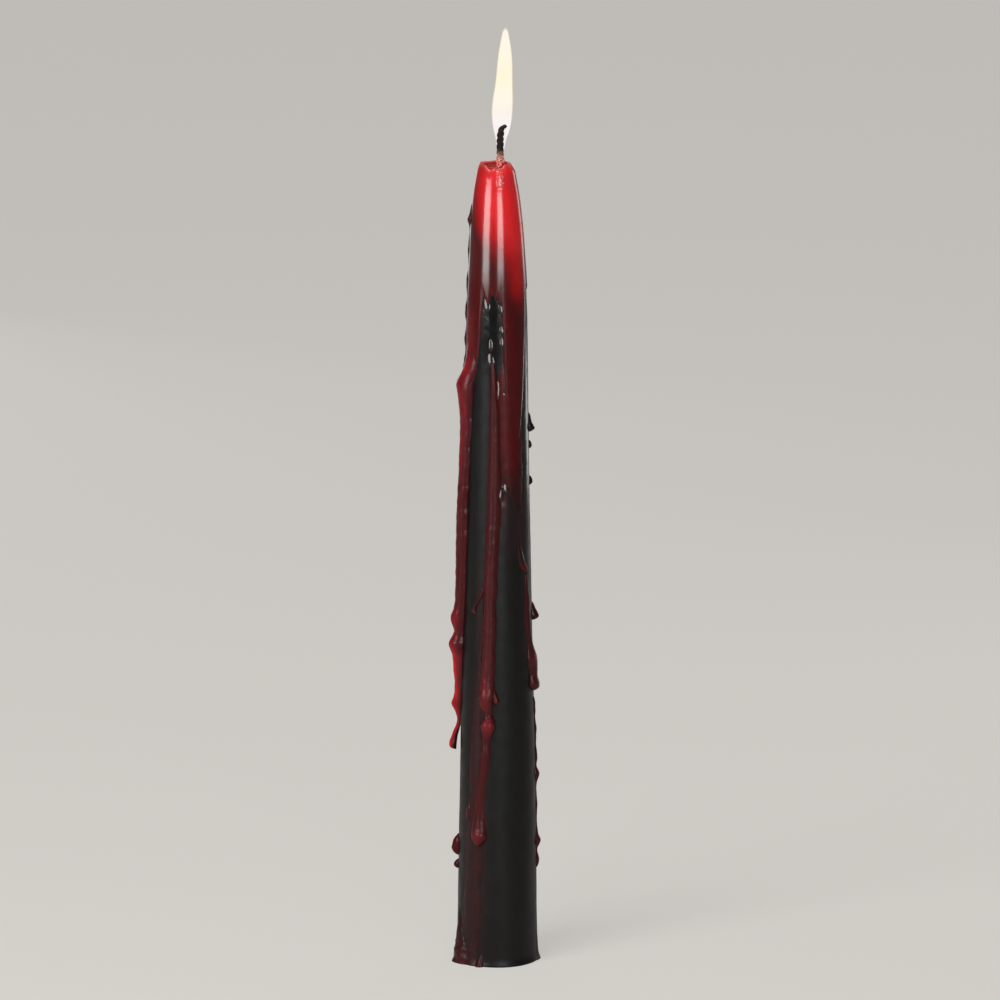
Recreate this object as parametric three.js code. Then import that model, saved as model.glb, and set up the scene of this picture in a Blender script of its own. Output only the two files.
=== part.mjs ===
import * as THREE from "three";

// A dipped taper candle, burnt part way down: a red wax core in a coat of black wax, its top
// melted bare, with wax runs and drips down its wall, a braided wick and a flame.
// Millimetres and degrees. The base is centred on the origin and +Z is up.
// Bearing 0 is the front (-Y), and bearings grow towards the right (+X).

// Candle body
const BODY_HEIGHT = 223;
const FOOT_RADIUS = 11.1;
const RIM_RADIUS = 4.7;
const WALL_WAVER = 0.1;
const CROWN_LEAN = -0.3;

// Black coat
const COAT_WALL = 1;
const COAT_EDGE_WALL = 0.4;
const COAT_FLOOR = 1;
const COAT_FLARE = 0.6;
const COAT_FLARE_HEIGHT = 2.4;
const CROWN_HEIGHT = 35;
const CROWN_EDGE_SWING = 4;
const BOND_GAP = 0.15;

// Melted crown
const RIM_WALL = 1.3;
const RIM_ROUND = 0.5;
const POOL_DEPTH = 5.6;
const NOTCH_DEPTH = 5;
const NOTCH_BEARING = 9;
const NOTCH_SPREAD = 15;
const SAG_DEPTH = 1.4;
const SAG_BEARING = -45;
const SAG_SPREAD = 38;

// Wick
const WICK_RADIUS = 0.95;
const WICK_CLEARANCE = 0.15;
const WICK_FOOT_HEIGHT = 3;
const WICK_OFFSET = 0.8;
const WICK_RISE = 10.6;
const WICK_HOOK_RISE = 3.4;
const WICK_HOOK_REACH = 0.9;

// Flame
const FLAME_RISE = 37;
const FLAME_START = 3;
const FLAME_RADIUS = 2.85;
const FLAME_LEAN = 1.3;
const FLAME_CLEARANCE = 0.3;
const FLAME_SKIN = 0.5;

// Wax runs
const RUN_GAP = 0.3;
const RUN_STEP = 5;
const RUN_END_ROUND = 1.2;

// Fineness of the meshes
const AROUND = 36;
const RUN_AROUND = 10;
const COAT_ROWS = 15;
const CROWN_ROWS = 6;
const WICK_AROUND = 10;

const rad = THREE.MathUtils.degToRad;

// Wall radius by height: each pair is a share of the body height and how far the radius is
// from the rim's (0) to the foot's (1). It thins slowly and then quickly near the top.
const TAPER = [
  [0, 1],
  [0.11, 0.953],
  [0.25, 0.883],
  [0.39, 0.773],
  [0.45, 0.728],
  [0.55, 0.656],
  [0.65, 0.617],
  [0.74, 0.578],
  [0.82, 0.523],
  [0.88, 0.44],
  [0.93, 0.336],
  [0.973, 0.148],
  [1, 0],
];

// A smooth curve through rows of numbers, looked up by one more number.
function smoothThrough(keys, rows) {
  const width = rows[0].length;
  const curve = new THREE.CubicInterpolant(keys, rows.flat(), width);
  return (key) => Array.from(curve.evaluate(key));
}

const taperAt = smoothThrough(
  TAPER.map(([share]) => share),
  TAPER.map(([, fullness]) => [fullness]),
);

// Radius of the candle's outer wall, with a slight waver from the dipping.
function wallRadius(z, bearing) {
  const [fullness] = taperAt(z / BODY_HEIGHT);
  const waver = Math.sin(3 * rad(bearing) + z / 17) * Math.sin(z / 29);
  return RIM_RADIUS + (FOOT_RADIUS - RIM_RADIUS) * fullness + WALL_WAVER * waver;
}

// The softened crown leans a little to the left.
function lean(z) {
  return CROWN_LEAN * THREE.MathUtils.smoothstep(z, BODY_HEIGHT - CROWN_HEIGHT, BODY_HEIGHT);
}

// The black coat spreads a little where it met the table.
function outerRadius(z, bearing) {
  const flare = Math.max(0, 1 - z / COAT_FLARE_HEIGHT);
  return wallRadius(z, bearing) + COAT_FLARE * flare ** 2;
}

// A dip in the rim, deepest at its own bearing.
function dip(bearing, centre, spread, depth) {
  const turn = THREE.MathUtils.euclideanModulo(bearing - centre + 180, 360) - 180;
  return depth * Math.exp(-((turn / spread) ** 2));
}

function rimHeight(bearing) {
  const notch = dip(bearing, NOTCH_BEARING, NOTCH_SPREAD, NOTCH_DEPTH);
  const sag = dip(bearing, SAG_BEARING, SAG_SPREAD, SAG_DEPTH);
  return BODY_HEIGHT - Math.max(notch, sag);
}

// Where the black coat melted away: higher on the left than in front.
function coatEdge(bearing) {
  const high = Math.max(0, Math.sin(rad(-bearing))) * CROWN_EDGE_SWING;
  const ragged = Math.sin(rad(5 * bearing)) * 0.3 * CROWN_EDGE_SWING;
  return BODY_HEIGHT - CROWN_HEIGHT + high + ragged;
}

// A lathe whose every row is placed by a rule of the bearing, giving radius, height and the
// sideways place of the row's centre, which is otherwise the candle's own.
function unevenLathe(rows) {
  const profile = rows.map((row) => new THREE.Vector2(row(0)[0], row(0)[1]));
  const geometry = new THREE.LatheGeometry(profile, AROUND);
  const place = geometry.getAttribute("position");
  for (let i = 0; i < place.count; i++) {
    const column = Math.floor(i / rows.length) % AROUND;
    const bearing = (column * 360) / AROUND;
    const [r, z, middle = lean(z)] = rows[i % rows.length](bearing);
    const x = middle + r * Math.sin(rad(bearing));
    place.setXYZ(i, x, -r * Math.cos(rad(bearing)), z);
  }
  return geometry;
}

function mesh(name, geometry, material) {
  const made = new THREE.Mesh(geometry, material);
  made.name = name;
  return made;
}

// Shares from 0 to 1, both included.
function shares(count) {
  return Array.from({ length: count + 1 }, (_, i) => i / count);
}

// The coat's inner face and the core's side share these rows, so that they stay parallel.
function coatWall(share) {
  const thinning = THREE.MathUtils.smoothstep(share, 0.7, 1);
  return THREE.MathUtils.lerp(COAT_WALL, COAT_EDGE_WALL, thinning);
}

function bondFace(share, clearance) {
  return (bearing) => {
    const floor = COAT_FLOOR + clearance;
    const z = THREE.MathUtils.lerp(floor, coatEdge(bearing) + clearance, share);
    return [wallRadius(z, bearing) - coatWall(share) - clearance, z];
  };
}

function coatOuter(share) {
  return (bearing) => {
    const z = coatEdge(bearing) * share;
    return [outerRadius(z, bearing), z];
  };
}

function blackCoat() {
  const flareRows = [0, 0.25, 0.55].map((share) => (bearing) => {
    const z = COAT_FLARE_HEIGHT * share;
    return [outerRadius(z, bearing), z];
  });
  const outer = shares(COAT_ROWS).slice(1).map(coatOuter);
  const inner = shares(COAT_ROWS).reverse().map((share) => bondFace(share, 0));
  return unevenLathe([() => [0, 0], ...flareRows, ...outer, ...inner, () => [0, COAT_FLOOR]]);
}

const POOL_FLOOR = BODY_HEIGHT - POOL_DEPTH;
const POOL_RADIUS = RIM_RADIUS - RIM_WALL;
const BORE_RADIUS = WICK_RADIUS + WICK_CLEARANCE;
const BORE_END = WICK_FOOT_HEIGHT - WICK_CLEARANCE;

function redCore() {
  const side = shares(COAT_ROWS).map((share) => bondFace(share, BOND_GAP));
  const bare = shares(CROWN_ROWS).map((share) => (bearing) => {
    const low = coatEdge(bearing) + BOND_GAP;
    const high = rimHeight(bearing) - RIM_ROUND;
    const z = THREE.MathUtils.lerp(low, high, share);
    return [wallRadius(z, bearing), z];
  });
  const rim = (bearing) => {
    const z = rimHeight(bearing);
    return [wallRadius(z, bearing) - RIM_ROUND, z];
  };
  const lip = (bearing) => {
    const z = Math.max(rimHeight(bearing) - RIM_ROUND, POOL_FLOOR + RIM_ROUND / 2);
    return [POOL_RADIUS, z];
  };
  const pool = () => [POOL_RADIUS - RIM_ROUND, POOL_FLOOR, (WICK_OFFSET + CROWN_LEAN) / 2];
  const boreMouth = () => [BORE_RADIUS, POOL_FLOOR, WICK_OFFSET];
  return unevenLathe([
    () => [0, COAT_FLOOR + BOND_GAP],
    ...side,
    ...bare,
    rim,
    lip,
    pool,
    boreMouth,
    () => [BORE_RADIUS, BORE_END, 0],
    () => [0, BORE_END, 0],
  ]);
}

// The wick slants from the middle of the foot to its place in the pool, stands straight, and
// hooks to the right at its charred tip.
const WICK_TOP = BODY_HEIGHT + WICK_RISE - WICK_RADIUS;
const HOOK_START = WICK_TOP - WICK_HOOK_RISE;
const wickPath = new THREE.CurvePath();
wickPath.add(
  new THREE.LineCurve3(
    new THREE.Vector3(0, 0, WICK_FOOT_HEIGHT),
    new THREE.Vector3(WICK_OFFSET, 0, POOL_FLOOR),
  ),
);
wickPath.add(
  new THREE.LineCurve3(
    new THREE.Vector3(WICK_OFFSET, 0, POOL_FLOOR),
    new THREE.Vector3(WICK_OFFSET, 0, HOOK_START),
  ),
);
wickPath.add(
  new THREE.QuadraticBezierCurve3(
    new THREE.Vector3(WICK_OFFSET, 0, HOOK_START),
    new THREE.Vector3(WICK_OFFSET, 0, WICK_TOP - WICK_HOOK_REACH / 2),
    new THREE.Vector3(WICK_OFFSET + WICK_HOOK_REACH, 0, WICK_TOP),
  ),
);

// A ball drawn out into rings, each placed by a rule of its row and of the side of the ring:
// across runs from left (-1) to right (1), and out from inside (-1) to outside (1).
function drawnBall(around, rowCount, place) {
  const geometry = new THREE.SphereGeometry(1, around, rowCount);
  const position = geometry.getAttribute("position");
  for (let i = 0; i < position.count; i++) {
    const row = Math.floor(i / (around + 1));
    const turn = ((i % (around + 1)) % around) / around;
    const across = -Math.cos(2 * Math.PI * turn);
    const out = Math.sin(2 * Math.PI * turn);
    position.setXYZ(i, ...place(row, across, out));
  }
  return geometry;
}

function wick() {
  const lengths = wickPath.getCurveLengths();
  const whole = lengths.at(-1);
  const straight = [0, lengths[0] * 0.5, lengths[0], lengths[1]];
  const hook = [0.35, 0.7, 1].map((share) => THREE.MathUtils.lerp(lengths[1], whole, share));
  const rings = [0, ...straight, ...hook, whole].reverse();
  return drawnBall(WICK_AROUND, rings.length - 1, (row, across, out) => {
    const share = rings[row] / whole;
    const centre = wickPath.getPointAt(share);
    const along = wickPath.getTangentAt(share);
    const atEnd = row === 0 || row === rings.length - 1;
    const r = atEnd ? 0 : WICK_RADIUS;
    const rounding = row === 0 ? WICK_RADIUS / 2 : 0;
    const x = centre.x + across * r * along.z + rounding * along.x;
    const z = centre.z - across * r * along.x + rounding * along.z;
    return [x, centre.y - out * r, z];
  });
}

// Flame outline: share of its height, share of its radius.
const FLAME_OUTLINE = [
  [0, 0.6],
  [0.07, 0.68],
  [0.14, 0.85],
  [0.22, 0.99],
  [0.35, 1],
  [0.45, 0.95],
  [0.6, 0.82],
  [0.74, 0.7],
  [0.86, 0.52],
  [0.94, 0.32],
];

function flame() {
  const bottom = BODY_HEIGHT + FLAME_START;
  const height = FLAME_RISE - FLAME_START;
  const middle = (z) => WICK_OFFSET + (FLAME_LEAN * (z - bottom)) / height;
  const hollowRadius = WICK_RADIUS + FLAME_CLEARANCE;
  const hookRadius = hollowRadius + WICK_HOOK_REACH;
  const hollowTop = BODY_HEIGHT + WICK_RISE + 2 * FLAME_CLEARANCE;
  const hookLevel = HOOK_START - WICK_RADIUS;
  const hookMiddle = WICK_OFFSET + WICK_HOOK_REACH / 2;
  const hollow = (z) => (z < hookLevel ? hollowRadius : hookRadius);
  const outer = FLAME_OUTLINE.map(([rise, fullness]) => () => {
    const z = bottom + height * rise;
    const needed = z < hollowTop + FLAME_SKIN ? hollow(z) + FLAME_SKIN : 0;
    return [Math.max(FLAME_RADIUS * fullness, needed), z, middle(z)];
  });
  return unevenLathe([
    () => [0, hollowTop, hookMiddle],
    () => [hookRadius, hollowTop - FLAME_CLEARANCE, hookMiddle],
    () => [hookRadius, hookLevel + WICK_RADIUS, hookMiddle],
    () => [hollowRadius, hookLevel, WICK_OFFSET],
    () => [hollowRadius, bottom, WICK_OFFSET],
    ...outer,
    () => [0, bottom + height, middle(bottom + height)],
  ]);
}

// A wax run: a solid that hugs the wall. Each station is a share of the body height, a bearing,
// a half width, a thickness and, where the wax hangs clear, a distance from the wall.
function waxRun(stations) {
  const full = stations.map(([share, bearing, half, thick, clear = 0]) => [
    share * BODY_HEIGHT,
    bearing,
    half,
    thick,
    clear,
  ]);
  const reach = [0];
  for (let i = 1; i < full.length; i++) {
    const drop = full[i - 1][0] - full[i][0];
    const sweep = rad(full[i][1] - full[i - 1][1]) * FOOT_RADIUS;
    reach.push(reach[i - 1] + Math.hypot(drop, sweep));
  }
  const at = smoothThrough(reach, full);
  const length = reach.at(-1);
  const round = Math.min(RUN_END_ROUND, length / 3);
  const count = Math.max(2, Math.round((length - 2 * round) / RUN_STEP));
  const middle = shares(count).map((share) => round + share * (length - 2 * round));
  const rings = [0, round * 0.3, ...middle, length - round * 0.3, length];
  return drawnBall(RUN_AROUND, rings.length - 1, (row, across, out) => {
    const [z, bearing, half, thick, clear] = at(rings[row]);
    const fromEnd = Math.min(rings[row], length - rings[row]);
    const fullness = Math.sqrt(1 - (1 - Math.min(1, fromEnd / round)) ** 2);
    const gap = RUN_GAP + Math.max(0, clear);
    const inner = outerRadius(z, bearing) + gap;
    const turn = THREE.MathUtils.radToDeg((across * half * fullness) / inner);
    const wall = outerRadius(z, bearing + turn) + gap;
    const r = wall + Math.max(0, out) * thick * fullness;
    const x = lean(z) + r * Math.sin(rad(bearing + turn));
    return [x, -r * Math.cos(rad(bearing + turn)), z];
  });
}

const RUNS = {
  // Down the left: from the crown, swelling where it turns outward, beaded, its tail hanging.
  wax_run_left: [
    [0.84, -44, 1, 0.5],
    [0.82, -45, 1.6, 0.7],
    [0.785, -48, 2, 0.9],
    [0.756, -58, 2.7, 1.6],
    [0.733, -76, 3.4, 3],
    [0.708, -76, 2.7, 2.2],
    [0.68, -76, 2.2, 1.8],
    [0.65, -78, 2.1, 1.8],
    [0.583, -80, 1.9, 2.1],
    [0.52, -83, 1.8, 1.9],
    [0.47, -86, 1.8, 1.8],
    [0.431, -88, 2, 3],
    [0.415, -89, 1.6, 1.9],
    [0.398, -90, 2.1, 3.4],
    [0.376, -91, 1.4, 1.8],
    [0.34, -92, 1.4, 1.8],
    [0.32, -94, 1.7, 2.6],
    [0.302, -96, 0.9, 0.8, 0.1],
    [0.28, -97, 1.1, 2, 0.6],
    [0.264, -97, 0.9, 1.8, 0.8],
  ],
  wax_run_left_upper: [
    [0.945, -88, 0.6, 0.4],
    [0.92, -90, 1, 0.6],
    [0.87, -90, 1.1, 0.7],
    [0.83, -91, 1.1, 0.7],
    [0.785, -92, 1.1, 0.7],
    [0.765, -92, 0.8, 0.6],
  ],
  // Down the front: narrow at first, widening, then beads on a thin thread.
  wax_run_front: [
    [0.755, -7, 0.8, 0.5],
    [0.713, -6, 1.35, 0.9],
    [0.65, -5.5, 1.5, 1],
    [0.58, -6, 1.8, 1.2],
    [0.54, -9, 2, 1.4],
    [0.464, -13, 1.95, 1.4],
    [0.4, -15, 2, 1.5],
    [0.364, -17, 2, 1.6],
    [0.339, -16, 2.3, 1.9],
    [0.321, -14, 1.1, 1],
    [0.307, -14, 2, 1.7],
    [0.288, -18, 1.2, 1.1],
    [0.25, -22, 1.05, 0.9],
    [0.211, -26, 1.1, 0.9],
    [0.183, -26, 1.8, 1.4],
    [0.168, -26, 2.3, 1.8],
    [0.152, -26, 1.2, 1],
  ],
  wax_run_front_branch: [
    [0.467, -29, 0.5, 0.4],
    [0.459, -35, 0.65, 0.5],
    [0.448, -42, 0.9, 0.8],
  ],
  // The broad film right of the front, ending in a small drip.
  wax_film_right: [
    [0.93, 40, 2.2, 0.25],
    [0.89, 38, 2.9, 0.35],
    [0.83, 36, 3, 0.4],
    [0.77, 34, 2.85, 0.45],
    [0.7, 33, 2.8, 0.5],
    [0.614, 31, 2.9, 0.6],
    [0.588, 34, 3, 0.8],
    [0.56, 42, 2.6, 0.5],
    [0.538, 49, 2, 0.5],
    [0.517, 52, 1.6, 0.8],
    [0.49, 57, 1.1, 0.9],
  ],
  wax_run_right: [
    [0.48, 62, 1.4, 0.6],
    [0.465, 62, 2.2, 0.8],
    [0.445, 63, 2.3, 0.8],
    [0.408, 66, 2.4, 0.8],
    [0.382, 70, 2.9, 1.2],
    [0.358, 74, 3.2, 1.7],
    [0.342, 76, 2.2, 1.5],
  ],
  wax_run_right_lower: [
    [0.332, 90, 0.6, 0.4],
    [0.29, 89, 0.7, 0.4],
    [0.252, 88, 0.8, 0.4],
    [0.234, 88, 1.2, 1],
    [0.215, 88, 0.7, 0.4],
    [0.18, 87, 0.7, 0.4],
    [0.15, 87, 1.2, 1.1],
    [0.134, 87, 0.8, 0.4],
    [0.122, 87, 1, 0.7],
    [0.114, 87, 0.7, 0.4],
  ],
  wax_drip_right_1: [
    [0.69, 90, 0.8, 0.8],
    [0.677, 90, 1.2, 1.6],
    [0.667, 90, 0.8, 1],
  ],
  wax_drip_right_2: [
    [0.655, 91, 0.7, 0.5],
    [0.644, 91, 0.8, 0.6],
  ],
  wax_drip_right_3: [
    [0.61, 90, 0.7, 0.5],
    [0.599, 90, 0.8, 0.5],
  ],
  wax_drip_right_4: [
    [0.452, 93, 1, 0.8],
    [0.438, 93, 1.3, 1.7],
    [0.428, 93, 0.9, 1.1],
  ],
  wax_drip_left_1: [
    [0.158, -92, 0.8, 0.8],
    [0.142, -92, 1.3, 1.9],
    [0.131, -92, 1, 1.6],
  ],
  wax_drip_left_2: [
    [0.125, -92, 0.9, 1],
    [0.114, -92, 0.9, 1.2],
  ],
  wax_film_front_low: [
    [0.143, -42, 1.6, 0.3],
    [0.121, -44, 3.5, 0.35],
    [0.09, -45, 4.4, 0.4],
    [0.054, -46, 4.7, 0.45],
    [0.032, -47, 4.6, 0.45],
  ],
  wax_pool_left: [
    [0.027, -70, 3.2, 0.7],
    [0.014, -70, 4.4, 1.7],
    [0.006, -70, 4.4, 1.5],
  ],
  wax_pool_right: [
    [0.018, 86, 2, 0.3],
    [0.007, 86, 2.8, 0.5],
  ],
  wax_run_back_left: [
    [0.8, -150, 0.9, 0.6],
    [0.74, -151, 1.4, 0.9],
    [0.62, -153, 1.6, 1.1],
    [0.5, -154, 1.5, 1.2],
    [0.43, -156, 1.9, 1.8],
    [0.41, -156, 1.2, 1.2],
  ],
  wax_run_back_right: [
    [0.86, 148, 1, 0.6],
    [0.78, 149, 1.6, 0.9],
    [0.66, 151, 1.7, 1.1],
    [0.565, 152, 2, 1.7],
    [0.545, 152, 1.3, 1.2],
  ],
};

const blackWax = new THREE.MeshStandardMaterial({ color: 0x1c1b1c, roughness: 0.42, metalness: 0 });
const redWax = new THREE.MeshStandardMaterial({ color: 0xb01019, roughness: 0.22, metalness: 0 });
const runWax = new THREE.MeshStandardMaterial({ color: 0x6a1a1f, roughness: 0.28, metalness: 0 });
const cotton = new THREE.MeshStandardMaterial({ color: 0x2a1c1b, roughness: 0.95, metalness: 0 });
const glow = new THREE.MeshStandardMaterial({
  color: 0xfff0c0,
  emissive: 0xffe2a0,
  roughness: 1,
  metalness: 0,
  transparent: true,
  opacity: 0.7,
});

const candle = new THREE.Group();
candle.add(mesh("black_wax_coat", blackCoat(), blackWax));
candle.add(mesh("red_wax_core", redCore(), redWax));
candle.add(mesh("wick", wick(), cotton));
candle.add(mesh("flame", flame(), glow));
for (const [name, stations] of Object.entries(RUNS)) {
  candle.add(mesh(name, waxRun(stations), runWax));
}

export default candle;
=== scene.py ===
"""A lit, dipped taper candle: black wax over red, melted bare at the top, red runs down its sides.

Shapes are worked out in millimetres and set into metres when they reach a mesh. Bearing 0 is
the front of the candle (-Y), and bearings grow towards the right (+X).
"""

import math

import bpy
import numpy as np
from bpy.props import FloatProperty, FloatVectorProperty, IntProperty, PointerProperty
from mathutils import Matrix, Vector, noise


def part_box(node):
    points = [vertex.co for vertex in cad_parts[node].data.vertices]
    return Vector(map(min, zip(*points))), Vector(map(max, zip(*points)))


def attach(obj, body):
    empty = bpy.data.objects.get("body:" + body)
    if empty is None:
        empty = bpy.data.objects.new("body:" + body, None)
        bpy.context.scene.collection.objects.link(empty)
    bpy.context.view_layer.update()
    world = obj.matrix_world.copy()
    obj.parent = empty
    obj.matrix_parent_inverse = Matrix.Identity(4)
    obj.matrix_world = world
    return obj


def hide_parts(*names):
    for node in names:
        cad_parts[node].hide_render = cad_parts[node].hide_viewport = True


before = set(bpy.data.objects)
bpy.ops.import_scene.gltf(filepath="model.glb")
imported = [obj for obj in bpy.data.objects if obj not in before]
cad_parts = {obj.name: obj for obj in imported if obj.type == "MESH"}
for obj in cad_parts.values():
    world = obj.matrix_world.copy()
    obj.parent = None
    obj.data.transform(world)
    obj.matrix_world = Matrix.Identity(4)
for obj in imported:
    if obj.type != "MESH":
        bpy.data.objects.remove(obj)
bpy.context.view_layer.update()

bl_info = {
    "name": "Melted candle",
    "version": (1, 0, 0),
    "blender": (4, 5, 0),
    "location": "View3D > Sidebar > Candle",
    "description": "Builds a lit taper candle with melted wax runs around its packed solids",
    "category": "Add Mesh",
}

MM = 0.001
CORE_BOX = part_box("red_wax_core")
WICK_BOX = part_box("wick")
FLAME_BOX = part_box("flame")


def linear(hex_colour):
    """An sRGB hex colour as the linear colour that shaders take."""
    parts = [int(hex_colour[i : i + 2], 16) / 255 for i in (1, 3, 5)]
    return tuple(p / 12.92 if p <= 0.04045 else ((p + 0.055) / 1.055) ** 2.4 for p in parts)


def length(name, description, default):
    """A size in metres that a user may change."""
    return FloatProperty(
        name=name, description=description, default=default, unit="LENGTH", subtype="DISTANCE"
    )


def colour(name, description, hex_colour):
    """A colour that a user may change."""
    return FloatVectorProperty(
        name=name,
        description=description,
        default=linear(hex_colour),
        subtype="COLOR",
        size=3,
        min=0,
        max=1,
    )


class CandleSizes(bpy.types.PropertyGroup):
    height: length("Height", "From the base to the rim", CORE_BOX[1].z)
    foot_radius: length("Foot radius", "Radius of the wall at the base", 0.0111)
    rim_radius: length("Rim radius", "Radius of the wall at the rim", 0.0047)
    foot_flare: length("Foot flare", "How far the coat spreads at the table", 0.0006)
    foot_flare_height: length("Flare height", "Height of that spread", 0.0024)
    crown_height: length("Crown height", "Height of the part melted bare", 0.035)
    rim_wall: length("Rim wall", "Thickness of the wax at the rim", 0.0009)
    pool_depth: length("Pool depth", "From the rim down to the molten wax", 0.0052)
    wick_radius: length("Wick radius", "Radius of the braided wick", 0.00095)
    wick_offset: length("Wick offset", "How far right of the middle the wick stands", 0.0008)
    wick_top: length("Wick top", "Height of the wick's charred tip", WICK_BOX[1].z)
    flame_bottom: length("Flame bottom", "Height of the flame's lower end", FLAME_BOX[0].z)
    flame_top: length("Flame top", "Height of the flame's tip", FLAME_BOX[1].z)
    flame_radius: length("Flame radius", "Widest radius of the flame", 0.00285)
    around: IntProperty(name="Steps around", description="Faces around the wall", default=144)


class CandleColours(bpy.types.PropertyGroup):
    black_wax: colour("Black wax", "The dipped black coat", "#121111")
    bloom: colour("Bloom", "Dull skin on wax that has set", "#2c1b1b")
    film_wax: colour("Thin wax", "Red wax so thin that the black shows through", "#4f080b")
    run_wax: colour("Run wax", "Red wax in the runs", "#58151a")
    # Thick wax: partly painted light shining through the hanging run on the left.
    thick_wax: colour("Thick wax", "Red wax where a run is thickest", "#c8202a")
    # Molten wax: its bright red is partly painted glow from the flame.
    bright_wax: colour("Molten wax", "Red wax melted bare at the top", "#ef2228")
    cloudy_wax: colour("Cloudy wax", "Half-set wax on the inside of the rim", "#a86765")
    soaked_cotton: colour("Soaked cotton", "The wick where wax soaks it", "#ee706d")
    dry_cotton: colour("Dry cotton", "The scorched part below the burnt end", "#bd9079")
    charred_cotton: colour("Charred cotton", "The burnt end of the wick", "#0d0908")
    flame_heart: colour("Flame heart", "The middle of the flame", "#fffdf6")
    flame_body: colour("Flame body", "The flame around its heart", "#fffdf4")
    flame_edge: colour("Flame edge", "The thin edge of the flame", "#ffecca")
    floor: colour("Floor", "The plain floor", "#dcd9d3")


class CandleStage(bpy.types.PropertyGroup):
    camera_distance: length("Camera distance", "Level distance of the camera", 2.2)
    camera_height: length("Camera height", "Height of the camera", 0.6225)
    aim_height: length("Aim height", "Height on the candle that the camera looks at", 0.129386)
    aim_side: length("Aim side", "How far right of the middle the camera looks", 0.0007)
    lens: FloatProperty(name="Lens", description="Focal length in millimetres", default=297.16)


def sizes():
    """The sizes in millimetres, by name."""
    group = bpy.context.scene.candle_sizes
    names = [n for n in CandleSizes.__annotations__ if n != "around"]
    return {n: getattr(group, n) / MM for n in names} | {"around": group.around}


def smooth_through(keys, rows):
    """A smooth curve through rows of numbers, looked up by an array of keys."""
    keys = np.asarray(keys, float)
    rows = np.asarray(rows, float).reshape(len(keys), -1)
    slopes = np.gradient(rows, keys, axis=0)

    def at(where):
        where = np.clip(np.asarray(where, float), keys[0], keys[-1])
        i = np.clip(np.searchsorted(keys, where, side="right") - 1, 0, len(keys) - 2)
        gap = (keys[i + 1] - keys[i])[..., None]
        t = (where - keys[i])[..., None] / gap
        start = (2 * t**3 - 3 * t**2 + 1) * rows[i] + (t**3 - 2 * t**2 + t) * gap * slopes[i]
        end = (3 * t**2 - 2 * t**3) * rows[i + 1] + (t**3 - t**2) * gap * slopes[i + 1]
        return start + end

    return at


def smooth_step(value, low, high):
    """From 0 at low to 1 at high with soft ends, where low may be the greater number."""
    t = np.clip((np.asarray(value, float) - low) / (high - low), 0, 1)
    return t * t * (3 - 2 * t)


# Wall radius by height: a share of the body height, and how far the radius is from the rim's
# (0) to the foot's (1).
TAPER = [
    (0, 1),
    (0.11, 0.953),
    (0.25, 0.883),
    (0.39, 0.773),
    (0.45, 0.728),
    (0.55, 0.656),
    (0.65, 0.617),
    (0.74, 0.578),
    (0.82, 0.523),
    (0.88, 0.44),
    (0.93, 0.356),
    (0.965, 0.225),
    (0.988, 0.085),
    (1, 0.03),
]
taper_at = smooth_through([share for share, _ in TAPER], [full for _, full in TAPER])
# In millimetres: how far the wall wavers in and out, and how far right the crown leans.
WALL_WAVER = 0.1
CROWN_LEAN = -0.3


def wall_radius(z, bearing):
    """Radius of the candle's outer wall, in millimetres, at heights and bearings."""
    s = sizes()
    fullness = taper_at(np.asarray(z) / s["height"])[..., 0]
    waver = np.sin(3 * np.radians(bearing) + z / 17) * np.sin(z / 29)
    flare = s["foot_flare"] * np.clip(1 - z / s["foot_flare_height"], 0, 1) ** 2
    spread = s["foot_radius"] - s["rim_radius"]
    return s["rim_radius"] + spread * fullness + WALL_WAVER * waver + flare


def lean(z):
    """The softened crown leans a little to the left."""
    s = sizes()
    return CROWN_LEAN * smooth_step(z, s["height"] - s["crown_height"], s["height"])


def around_wall(r, bearing, z):
    """Points in millimetres from radius, bearing and height."""
    turn = np.radians(bearing)
    return np.stack([lean(z) + r * np.sin(turn), -r * np.cos(turn), z], axis=-1)


def dip(bearing, centre, spread, flat=2):
    """1 at its own bearing, fading to 0 around it, and squarer the higher flat is."""
    turn = (np.asarray(bearing) - centre + 180) % 360 - 180
    return np.exp(-(np.abs(turn / spread) ** flat))


def spot(z, bearing, height, centre, half_height, half_width, ends=4, sides=2):
    """1 in the middle of a spot on the wall, fading to 0 around it."""
    rise = np.exp(-(np.abs((z - height) / half_height) ** ends))
    return rise * dip(bearing, centre, half_width, sides)


def lumps(points, size, seed):
    """Soft random bumps, from -1 to 1, over points in millimetres."""
    shift = Vector((seed * 7.31, seed * 3.77, seed * 5.13))
    return np.array([noise.noise(Vector(p) / size + shift) for p in points])


def deselect():
    """Leaves edit mode with nothing selected."""
    if bpy.context.object and bpy.context.object.mode != "OBJECT":
        bpy.ops.object.mode_set(mode="OBJECT")
    bpy.ops.object.select_all(action="DESELECT")


def select(pieces):
    """Selects these pieces alone, with the first of them active."""
    deselect()
    for piece in pieces:
        piece.select_set(True)
    bpy.context.view_layer.objects.active = pieces[0]


def points_of(piece):
    """The points of a piece, in millimetres."""
    flat = np.empty(len(piece.data.vertices) * 3, np.float32)
    piece.data.vertices.foreach_get("co", flat)
    return flat.reshape(-1, 3).astype(float) / MM


def set_points(piece, points):
    """Moves the points of a piece to these, given in millimetres."""
    flat = (np.asarray(points) * MM).astype(np.float32).ravel()
    piece.data.vertices.foreach_set("co", flat)
    piece.data.update()


def paint(piece, name, values):
    """Keeps a number for each point of a piece, for its material to read."""
    layer = piece.data.attributes.new(name, "FLOAT", "POINT")
    layer.data.foreach_set("value", np.asarray(values, np.float32))


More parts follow.
